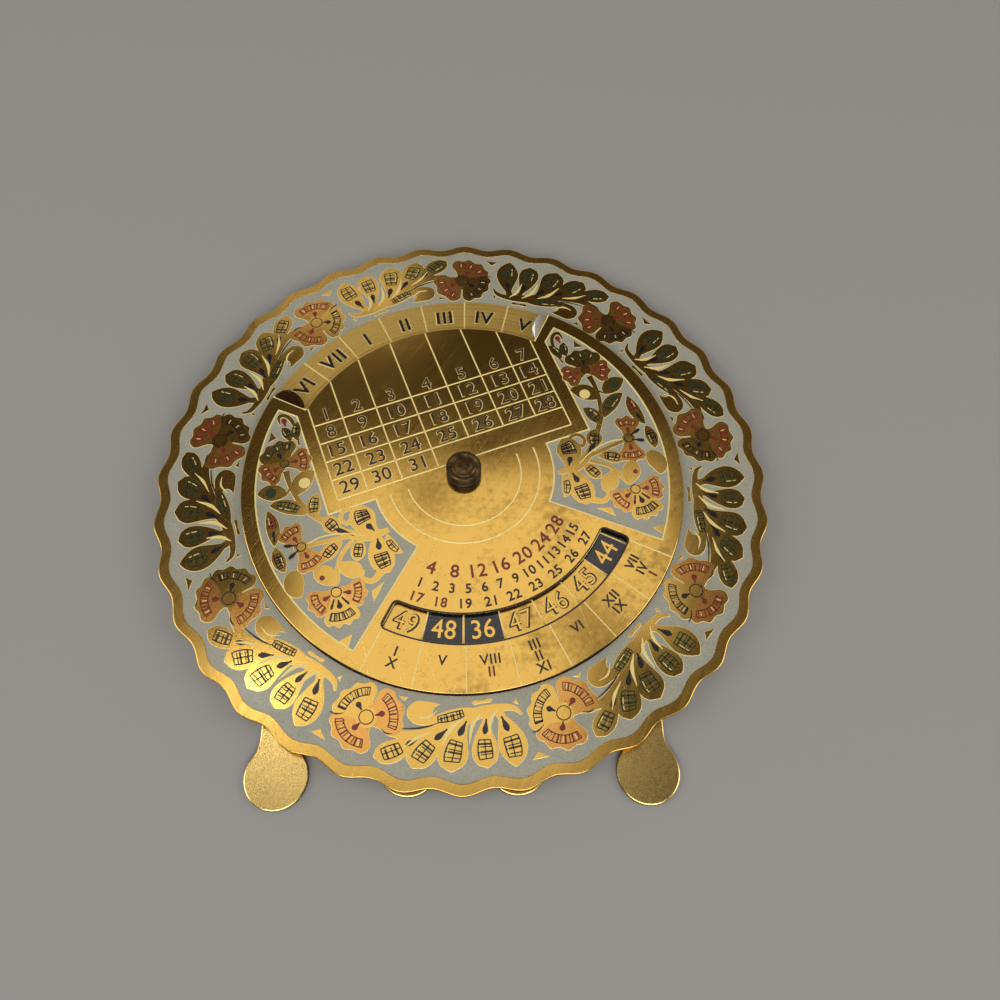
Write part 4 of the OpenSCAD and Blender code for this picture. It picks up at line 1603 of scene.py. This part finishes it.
    @staticmethod
    def panel_stems(art: Ornament) -> None:
        """Draw the stems, curls and small buds of the right panel."""
        art.ribbon([(32.8, 12.6), (32.9, 9.5), (32.3, 6.0), (31.2, 2.8), (29.6, 0.4), (27.2, -2.6),
                    (24.4, -5.2), (21.2, -6.6), (17.6, -6.6)],
                   [1.5, 1.1, 1.1, 1.3, 1.3, 1.5, 1.9, 2.3, 1.0], lift=0.004)
        art.ribbon([(22.4, -6.2), (26.0, -4.4), (30.0, -3.6), (33.0, -4.0)], [0.2, 0.3, 0.3, 0.2], Tone.LINE)
        art.ribbon([(24.2, -5.4), (28.2, -4.9), (33.0, -4.4)], [0.9, 1.0, 0.9])
        art.ribbon([(24.6, -6.2), (28.0, -9.0), (29.9, -13.6)], [0.9, 0.9, 1.1])
        art.ribbon([(32.9, 8.8), (34.0, 7.6), (35.2, 7.8)], [0.6, 0.6, 0.6])
        art.ribbon([(31.0, 2.6), (33.0, 3.8), (36.4, 5.2)], [0.7, 0.7, 0.4])
        art.ribbon([(21.9, -3.9), (22.4, -0.8), (24.0, 0.3), (25.5, -0.8), (24.9, -2.5), (23.7, -2.2)],
                   [0.5, 0.9, 0.9, 0.9, 0.9, 1.3], lift=0.004)
        art.ribbon([(28.9, 17.4), (28.6, 21.0), (29.2, 24.4), (30.9, 25.3), (31.3, 23.3)],
                   [0.5, 0.9, 1.0, 1.0, 0.3])
        art.ribbon([(21.4, -14.2), (23.6, -15.4), (25.1, -14.2), (24.4, -12.8)], [1.6, 1.2, 0.9, 0.3])
        art.drop((24.2, -5.4), (27.2, -2.9), 1.0, Tone.BLACK)
        art.drop((30.4, 22.7), (30.3, 24.6), 1.1, Tone.RED)
        art.chip((21.6, -16.3), (24.4, -17.3), (24.5, -19.4))
        art.chip((30.0, -23.9), (32.6, -24.3), (31.4, -26.1))
        art.chip((33.4, 22.4), (34.7, 20.0), (32.7, 20.5))

    @staticmethod
    def panel_leaves(art: Ornament) -> None:
        """Draw the leaves of the right panel."""
        art.leaf((28.9, 18.6), (27.7, 22.9), 2.1, -0.08, 0.5, Tone.GREEN, 3, False)
        art.leaf((30.3, 18.9), (31.2, 22.6), 2.2, 0.08, 0.5, Tone.GREEN, 3, False)
        art.leaf((32.5, 6.5), (27.6, 10.7), 3.9, -0.1, 0.5, None, 0, False)
        art.bead((30.1, 8.7), 1.15, Tone.LINE)
        art.leaf((33.9, 7.3), (39.4, 9.4), 3.7, 0.08, 0.5, None, 0, False)
        art.bead((36.8, 8.8), 1.05, Tone.GREEN)
        art.leaf((30.2, 0.6), (28.3, 5.6), 3.0, -0.1, 0.5, Tone.GREEN, 3, False)
        art.leaf((31.6, 2.0), (37.7, 6.2), 3.2, 0.1, 0.5, Tone.GREEN, 5, False)
        art.leaf((28.9, 0.0), (27.1, -4.0), 3.5, -0.1, 0.5, Tone.BLACK, 3, False)
        art.leaf((19.6, -6.6), (21.2, 0.4), 5.2, -0.16, 0.62, Tone.BLACK, 5, blunt=0.5, neck=1.8)
        art.leaf((20.0, -6.6), (20.2, -15.0), 4.9, 0.06, 0.6, Tone.BLACK, 5, blunt=0.5, neck=1.8)
        art.leaf((18.2, -7.4), (16.6, -12.0), 2.2, 0.16, 0.5, Tone.GREEN, 2, False)
        art.leaf((23.3, -6.4), (25.2, -10.7), 3.0, 0.0, 0.55, Tone.BLACK, 3, False)
        art.leaf((26.6, -6.0), (31.2, -8.6), 3.0, 0.1, 0.55, Tone.BLACK, 3, False)
        art.leaf((28.6, -9.8), (24.6, -13.0), 3.5, 0.08, 0.6, None, 0, False, blunt=0.45)
        art.leaf((38.9, -2.4), (38.3, 5.2), 2.7, 0.05, 0.5, Tone.RED, 4)
        art.leaf((38.8, -2.7), (38.3, -8.2), 2.7, 0.05, 0.5, Tone.BLACK, 4, False)
        art.leaf((36.0, -8.6), (36.6, -13.9), 3.9, 0.2, 0.45, None, 0, False, blunt=0.5)

    @staticmethod
    def panel_flowers(art: Ornament) -> None:
        """Draw the three flowers of the right panel."""
        upper = (32.7, 14.3)
        art.petal(upper, 78, 5.7, 56, Tone.GREEN, 10, 4, Tone.BLACK)
        art.petal(upper, 186, 5.6, 38, Tone.RED, 6)
        art.petal(upper, -22, 5.6, 38, Tone.RED, 7)
        art.eye(upper, 1.0)
        middle = (34.2, -4.3)
        art.petal(middle, 70, 5.6, 34, Tone.RED, 6)
        art.petal(middle, -104, 5.8, 36, Tone.RED, 6)
        art.drop((34.9, -3.7), (37.2, -3.0), 0.75, Tone.BLACK)
        art.drop((34.9, -4.8), (37.0, -5.8), 0.75, Tone.BLACK)
        art.bead(middle, 1.5, Tone.BRASS)
        art.eye(middle, 1.0)
        lower = (30.5, -15.3)
        for facing in (200, -14):
            art.petal(lower, facing, 5.9, 34, Tone.RED, 6)
        art.petal(lower, -87, 7.0, 34, Tone.BLACK, 9, 4, Tone.BLACK)
        art.leaf((30.0, -14.0), (33.4, -9.8), 3.8, 0.1, 0.55, None, 0, False, blunt=0.5)
        art.bead((32.2, -11.7), 0.5, Tone.RED)
        for facing in (-118, -58):
            start, end = (Vector((*lower, 0)) + polar(reach, facing) for reach in (1.4, 3.4))
            art.drop(start[:2], end[:2], 0.5, Tone.BLACK)
        art.eye(lower, 1.05)

    def raised_lines(self, bench: Bench) -> None:
        """Raise the date grid, the window's end lines, the hub arcs and the month dividers."""
        grid_size, fold_size, month_size = (0.34, 0.055), (0.4, 0.055), (0.26, 0.05)
        window_gap, fold_in, edge_gap = 0.25, 0.22, 0.2
        hub_arcs, hub_start, hub_end = (11.4, 15.1), 178, 362
        inner, outer = self.slot_out + 0.45, self.radius - 0.15
        mesh = bmesh.new()
        z = self.top
        left, right = self.columns[0], self.columns[-1]
        for row in self.rows:
            ridge_line(mesh, Vector((left, row, z)), Vector((right, row, z)), *grid_size)
        for column in self.columns:
            head = math.sqrt((self.window_r - window_gap) ** 2 - column ** 2)
            foot = self.rows[-2] if 0 < column < right else self.rows[-1]
            ridge_line(mesh, Vector((column, foot, z)), Vector((column, head, z)), *grid_size)
        for side in (-1, 1):
            fold = 90 + side * self.calendar.half
            ends = [polar(r, fold, z) for r in (self.window_r, self.radius - edge_gap)]
            nudge = polar(fold_in, fold + side * 90)
            ridge_line(mesh, *(end + nudge for end in ends), *fold_size)
        for radius in hub_arcs:
            ridge_arc(mesh, radius, hub_start, hub_end, z, *grid_size)
        for i in range(self.calendar.shown + 1):
            angle = i * self.calendar.cell - 90 - self.calendar.half
            ridge_ray(mesh, inner, outer, angle, z, *month_size)
        self.finish(bench, mesh, "dial_raised_lines", [HIGHLIGHT_LINE_BRASS], "dial_brass", weld=False)

    def dates(self, bench: Bench) -> None:
        """Print the dates 1 to 31, each in a pale rim of painted highlight."""
        edge_weight, ink_weight, first_row_h = (0.05, 0.11), (0.1, 0.02), 4.3
        edges, ink = bmesh.new(), bmesh.new()
        middles = [(a + b) / 2 for a, b in zip(self.columns, self.columns[1:])]
        tops = [self.rows[0] + first_row_h, *self.rows]
        for date in range(1, 32):
            row, column = divmod(date - 1, len(middles))
            place = Vector((middles[column], tops[row] - self.date_drop, self.top))
            for mesh, weight in ((edges, edge_weight), (ink, ink_weight)):
                lettering(mesh, str(date), self.date_h, place, 0, *weight)
        self.finish(bench, edges, "date_highlight_edges", [HIGHLIGHT_LINE_BRASS], "dial_brass")
        self.finish(bench, ink, "dates", [DATE_INK], "black_enamel")

    def print_round(self, mesh: Mesh, text: str, height: float, radius: float,
                    angle: float) -> None:
        """Print numerals that have their head towards the pivot, at a radius and an angle."""
        thick, weight = 0.08, 0.05
        lettering(mesh, text, height, polar(radius, angle, self.top), angle + 90, thick, weight)

    def months(self, bench: Bench) -> None:
        """Print the month numerals, the leap years' own ones in red."""
        cells = (("I", "X"), ("V",), ("VIII", "-II"), ("III", "II", "XI"), ("VI",), ("XII", "IX"),
                 ("VII", "IV", "-I"))
        height, pitch, radius_of_two, radius_of_three = 1.75, 2.2, 37.9, 37.2
        dark, red = bmesh.new(), bmesh.new()
        for i, rows in enumerate(cells):
            angle = (i + 0.5) * self.calendar.cell - 90 - self.calendar.half
            for j, text in enumerate(rows):
                radius = (radius_of_three if len(rows) > 2 else radius_of_two) + pitch * j
                mesh = red if text.startswith("-") else dark
                self.print_round(mesh, text.strip("-"), height, radius, angle)
        self.finish(bench, dark, "month_numerals", [DATE_INK], "black_enamel")
        self.finish(bench, red, "leap_month_numerals", [RED_FILL], "black_enamel")

    def number_rows(self, bench: Bench) -> None:
        """Print three bowed rows of plain numbers between the hub and the slot.

        Each row has its radius, the height of its numbers, how many of them are red, and the numbers.
        """
        half = 43
        rows = (
            (20.9, 2.5, 7, (4, 8, 12, 16, 20, 24, 28)),
            (24.3, 1.8, 0, (1, 2, 3, 5, 6, 7, 9, 10, 11, 13, 14, 15)),
            (27.2, 1.8, 2, (17, 18, 19, 21, 22, 23, 25, 26, 27)),
        )
        dark, red = bmesh.new(), bmesh.new()
        for radius, height, reds, numbers in rows:
            for i, number in enumerate(numbers):
                angle = -90 - half + 2 * half * (i + 0.5) / len(numbers)
                self.print_round(red if i < reds else dark, str(number), height, radius, angle)
        self.finish(bench, dark, "cycle_numbers", [DATE_INK], "black_enamel")
        self.finish(bench, red, "red_cycle_numbers", [RED_FILL], "black_enamel")


@dataclass
class Knob:
    """The turned knob on the pivot.

    Attributes:
        dome: Height of the domed top.
        edge: Radius of its edges.
        boss_r: Radius of the boss in the middle of its top.
        groove_r: Radius of the groove round its top.
    """

    dome: float = 0.4
    edge: float = 0.28
    boss_r: float = 0.8
    groove_r: float = 2.35

    def build(self, bench: Bench) -> None:
        """Spin the knob with its grooves."""
        low, high = bounds_mm("knob")
        radius, bottom, top = high.x, low.z, high.z
        shoulder = top - self.dome
        waist, foot, round_up = radius - 0.18, radius - 0.68, 0.12
        sides = ((radius, 0.62), (waist, 0.78), (waist, 0.9), (radius, 1.06))
        crown = ((self.groove_r + 0.12, 0.16), (self.groove_r, 0.08), (self.groove_r - 0.14, 0.2),
                 (self.boss_r + 0.6, 0.3))
        boss = ((self.boss_r + 0.12, 0.12), (self.boss_r, 0.04), (self.boss_r * 0.6, 0.0), (0.0, 0.0))
        profile = [(0.0, bottom), (foot, bottom)]
        profile += rounded(self.edge, -90, 0, (radius - self.edge, bottom + self.edge))
        profile += [(r, bottom + rise) for r, rise in sides]
        profile += rounded(self.edge, 0, 80, (radius - self.edge, shoulder - self.edge + round_up), 4)
        profile += [(r, shoulder + rise) for r, rise in crown]
        profile += [(r, top - drop) for r, drop in boss]
        mesh = spun(profile, 96)
        # Painted shade on the side and the outer rounding of the knob.
        for face in mesh.faces:
            face.material_index = int(math.hypot(*face.calc_center_median().xy) > radius - round_up)
        bench.piece(mesh, "turned_knob", Body.BASE, [KNOB_BRONZE, KNOB_SIDE_SHADE], replaces=["knob"])


@dataclass
class Stand:
    """The folding stand: its bracket, rear leg and hinge.

    Attributes:
        sheet_t: Thickness of the sheet.
        edge: Radius of its edges.
        hub_half: Half width of the hub.
        hub_low: How far the hub reaches below the pivot.
        arm_w: Width of the arms.
        foot_x: Distance of each front foot from the middle.
        leg_w: Width of a front leg.
        foot_r: Radius of a front foot.
        blend: Radius of the blend between a leg and its foot.
        corner: Corner radius of the sheet.
        step_y: Where the front legs step back.
        step_l: Length of that step.
        knuckle_half: Half length of the leg's knuckle.
        knuckle_gap: Gap between the knuckles.
        prong_x: Distance of each prong from the middle.
        prong_w: Width of a prong.
        prong_r: Radius of a prong's foot.
        crossbar_h: Height of the leg's crossbar.
    """

    sheet_t: float = 0.8
    edge: float = 0.22
    hub_half: float = 17.0
    hub_low: float = 7.0
    arm_w: float = 10.0
    foot_x: float = 31.9
    leg_w: float = 6.8
    foot_r: float = 5.5
    blend: float = 6.0
    corner: float = 2.0
    step_y: float = 14.0
    step_l: float = 4.0
    knuckle_half: float = 4.8
    knuckle_gap: float = 0.2
    prong_x: float = 9.4
    prong_w: float = 7.2
    prong_r: float = 5.3
    crossbar_h: float = 10.0

    def __post_init__(self) -> None:
        """Take the hinge and the feet from the frame."""
        low, high = bounds_mm("stand_bracket")
        self.hub_z = high.z - self.sheet_t
        self.foot_y = low.y + self.foot_r
        self.knuckle_r = high.z / 2
        self.hinge_y = high.y - self.knuckle_r
        pin_end, gap = 0.5, 0.4
        self.knuckle_end = bounds_mm("hinge_pin")[1].x - pin_end
        low, high = bounds_mm("rear_leg")
        self.prong_y = low.y + self.prong_r
        self.heel_y = high.y
        self.crossbar_top = self.hinge_y - self.knuckle_r - gap

    def build(self, bench: Bench) -> None:
        """Build the bracket and the leg and dress the rest."""
        self.bracket(bench)
        self.leg(bench)
        for node in ("upper_left_rivet", "upper_right_rivet", "lower_left_rivet", "lower_right_rivet",
                     "rear_washer"):
            bench.dress(node, BACK_BRASS)
        bench.dress("hinge_pin", PIN_BRASS)

    @staticmethod
    def mirrored(half: Outline) -> Outline:
        """Close the right half of an outline, bottom to top, with its mirror image."""
        return half + [Vector((-p.x, p.y, 0)) for p in half[::-1]]

    def spoon(self, x: float, y: float, foot: float, width: float, top: float) -> Outline:
        """Work out the outline of a foot and its leg.

        Args:
            x: Distance of its middle from the stand's middle.
            y: Height of the foot's middle.
            foot: Radius of the foot.
            width: Width of the leg.
            top: Height of the leg's top.

        Returns:
            The outline, from the leg's inner top round the foot to its outer top.
        """
        far = width / 2 + self.blend
        rise = math.sqrt((foot + self.blend) ** 2 - far ** 2)
        meet = math.degrees(math.atan2(rise, far))
        inner = [Vector((x - width / 2, top, 0))]
        inner += arc(self.blend, 0, -meet, 8, (x - far, y + rise))
        foot_arc = arc(foot, 180 - meet, 360 + meet, 30, (x, y))
        outer = arc(self.blend, 180 + meet, 180, 8, (x + far, y + rise))
        return inner + foot_arc[1:-1] + outer + [Vector((x + width / 2, top, 0))]

    def knuckle(self, mesh: Mesh, start: float, end: float) -> None:
        """Roll a knuckle round the pin."""
        radius, e, bore = self.knuckle_r, 0.12, 0.55
        length = end - start
        profile = [(bore, 0), (radius - e, 0), (radius, e), (radius, length - e), (radius - e, length),
                   (bore, length)]
        along_pin = Matrix.Rotation(math.pi / 2, 4, "Y")
        place = Matrix.Translation((start, self.hinge_y, self.knuckle_r)) @ along_pin
        pour(spun(profile, 40), mesh, place)

    def bracket(self, bench: Bench) -> None:
        """Cut the bracket, step its legs and roll its knuckles."""
        c = self.corner
        leg_out = self.foot_x + self.leg_w / 2
        arm_top = self.arm_w - self.hub_low
        notch = self.knuckle_half + self.knuckle_gap
        half = [Vector((0, -self.hub_low, 0))]
        half += self.spoon(self.foot_x, self.foot_y, self.foot_r, self.leg_w, -self.hub_low)
        half.pop()
        half += arc(c, 0, 90, 5, (leg_out - c, arm_top - c))
        half += arc(c, 270, 180, 5, (self.hub_half + c, arm_top + c))
        half += arc(c, 0, 90, 5, (self.hub_half - c, self.crossbar_top - c))
        half += [Vector((self.knuckle_end, self.crossbar_top, 0)),
                 Vector((self.knuckle_end, self.hinge_y, 0)),
                 Vector((notch, self.hinge_y, 0)), Vector((notch, self.crossbar_top, 0))]
        work = bmesh.new()
        sheet(work, [self.mirrored(half)], self.hub_z, self.hub_z + self.sheet_t, self.edge)
        cuts = 6
        for i in range(cuts + 1):
            everything = list(work.verts) + list(work.edges) + list(work.faces)
            level = -self.step_y - self.step_l * i / cuts
            bmesh.ops.bisect_plane(work, geom=everything, plane_co=(0, level, 0), plane_no=(0, 1, 0))
        for vert in work.verts:
            t = min(max((-self.step_y - vert.co.y) / self.step_l, 0), 1)
            vert.co.z -= self.hub_z * t * t * (3 - 2 * t)
        # Painted shade on the bracket's walls.
        darken_walls(work)
        mesh = bmesh.new()
        pour(work, mesh)
        for side in (-1, 1):
            ends = sorted((side * notch, side * self.knuckle_end))
            self.knuckle(mesh, *ends)
        bench.piece(mesh, "bracket", Body.BASE, [STAND_BRASS, STAND_SHADE_BRASS],
                    replaces=["stand_bracket"])

    def leg(self, bench: Bench) -> None:
        """Cut the folding leg and roll its knuckle."""
        c = self.corner
        low = self.crossbar_top - self.crossbar_h
        half = [Vector((0, low, 0))]
        half += self.spoon(self.prong_x, self.prong_y, self.prong_r, self.prong_w, low)
        half.pop()
        edge_x = self.prong_x + self.prong_w / 2
        half += arc(c, 0, 90, 5, (edge_x - c, self.crossbar_top - c))
        half += [Vector((self.knuckle_half, self.crossbar_top, 0)),
                 Vector((self.knuckle_half, self.heel_y, 0))]
        mesh = bmesh.new()
        sheet(mesh, [self.mirrored(half)], 0, self.sheet_t, self.edge)
        # Painted shade on the leg's walls.
        darken_walls(mesh)
        self.knuckle(mesh, -self.knuckle_half, self.knuckle_half)
        bench.piece(mesh, "folding_leg", Body.LEG, [STAND_BRASS, STAND_SHADE_BRASS],
                    replaces=["rear_leg"])


@dataclass
class Lamp:
    """One soft lamp.

    Attributes:
        name: Its name.
        place: Where it is.
        target: What it faces.
        size: Its width and height.
        radiance: How bright its face is.
        colour: Its colour.
    """

    name: str
    place: Place
    target: Place
    size: Point
    radiance: float
    colour: tuple[float, float, float] = (1.0, 0.96, 0.9)

    def build(self) -> None:
        """Hang the lamp."""
        data = bpy.data.lights.new(self.name, "AREA")
        data.shape = "RECTANGLE"
        data.size, data.size_y = self.size[0] * MM, self.size[1] * MM
        data.energy = self.radiance * math.pi * data.size * data.size_y
        data.color = self.colour
        lamp = bpy.data.objects.new(self.name, data)
        lamp.location = Vector(self.place) * MM
        way = Vector(self.target) - Vector(self.place)
        lamp.rotation_euler = way.to_track_quat("-Z", "Y").to_euler()
        bpy.context.scene.collection.objects.link(lamp)


@dataclass
class Studio:
    """The floor, the light and the camera.

    Attributes:
        lens: Focal length of the camera in millimetres, on a 36 mm sensor.
        camera_place: Where the camera stands.
        camera_turn: Its turns about X, Y and Z in degrees, from the world to the camera.
        floor_half: Half width of the floor.
        floor_colour: Colour of the floor.
        walls: Colour of the walls.
        ceiling: Colour of the ceiling.
        fade: Heights between which the walls give way to the ceiling, as parts of a unit vector.
        lamps: The lamps.
    """

    lens: float = 28.51
    camera_place: Place = (2.9, -74.22, 143.47)
    camera_turn: Place = (-26.1186, 1.2352, 0.9907)
    floor_half: float = 3000.0
    floor_colour: Colour = linear(158, 157, 154)
    walls: Colour = linear(190, 184, 176)
    ceiling: Colour = linear(58, 50, 43)
    fade: Point = (0.35, 0.62)
    lamps: tuple[Lamp, ...] = (
        Lamp("lower_softbox", (-76, 67, 603), (-76, 67, 0), (359, 153), 0.95),
        Lamp("middle_softbox", (14, 236, 603), (14, 236, 0), (370, 185), 0.95),
        Lamp("upper_softbox", (-176, 566, 603), (-176, 566, 0), (214, 106), 0.8),
        Lamp("spot_window", (-208, 90, 600), (-208, 90, 0), (34, 26), 12.0),
        Lamp("front_fill", (0, -1100, 900), (0, 0, 0), (1500, 900), 3.0, (1.0, 0.98, 0.95)),
        Lamp("left_fill", (-1300, -100, 800), (0, 0, 0), (900, 900), 2.4, (0.97, 0.98, 1.0)),
        Lamp("right_fill", (1300, -200, 800), (0, 0, 0), (900, 900), 2.4, (0.97, 0.98, 1.0)),
    )

    def build(self) -> None:
        """Build the studio."""
        bpy.context.scene.view_settings.view_transform = "Standard"
        self.floor()
        for lamp in self.lamps:
            lamp.build()
        self.surroundings()
        self.camera()

    def surroundings(self) -> None:
        """Put a dim ceiling over pale walls."""
        world = bpy.data.worlds.new("studio")
        world.use_nodes = True
        kit = NodeKit(world.node_tree)
        way = kit.node("ShaderNodeTexCoord").outputs["Generated"]
        height = kit.node("ShaderNodeSeparateXYZ", {"Vector": way}).outputs["Z"]
        ceiling = kit.ramp(height, *self.fade)
        background = world.node_tree.nodes["Background"]
        kit.tree.links.new(kit.mix(ceiling, self.walls, self.ceiling), background.inputs["Color"])
        bpy.context.scene.world = world

    def floor(self) -> None:
        """Lay the plain pale floor."""
        mesh = bmesh.new()
        bmesh.ops.create_grid(mesh, x_segments=1, y_segments=1, size=self.floor_half * MM)
        data = bpy.data.meshes.new("floor")
        mesh.to_mesh(data)
        mesh.free()
        floor = bpy.data.objects.new("floor", data)
        bpy.context.scene.collection.objects.link(floor)
        material = bpy.data.materials.new("floor")
        material.use_nodes = True
        shader = material.node_tree.nodes["Principled BSDF"]
        shader.inputs["Base Color"].default_value = self.floor_colour
        shader.inputs["Roughness"].default_value = 0.9
        data.materials.append(material)

    def camera(self) -> None:
        """Stand the camera where the photograph was taken from."""
        turns = [Matrix.Rotation(math.radians(a), 3, axis) for a, axis in zip(self.camera_turn, "XYZ")]
        into_camera = turns[0] @ turns[1] @ turns[2]
        data = bpy.data.cameras.new("camera")
        data.lens = self.lens
        data.clip_start = 5 * MM
        camera = bpy.data.objects.new("camera", data)
        place = Vector(self.camera_place) * MM
        camera.matrix_world = Matrix.Translation(place) @ into_camera.transposed().to_4x4()
        bpy.context.scene.collection.objects.link(camera)
        bpy.context.scene.camera = camera


def main() -> None:
    """Build the calendar and the studio."""
    logging.basicConfig(level=logging.INFO, format="%(message)s")
    bench = Bench()
    calendar = Calendar()
    BasePlate(calendar).build(bench)
    Dial(calendar).build(bench)
    Knob().build(bench)
    Stand().build(bench)
    bench.dress("pivot_stud", PIN_BRASS)
    bench.dress("spring_washer", STEEL)
    Studio().build()


if __name__ == "__main__":
    main()
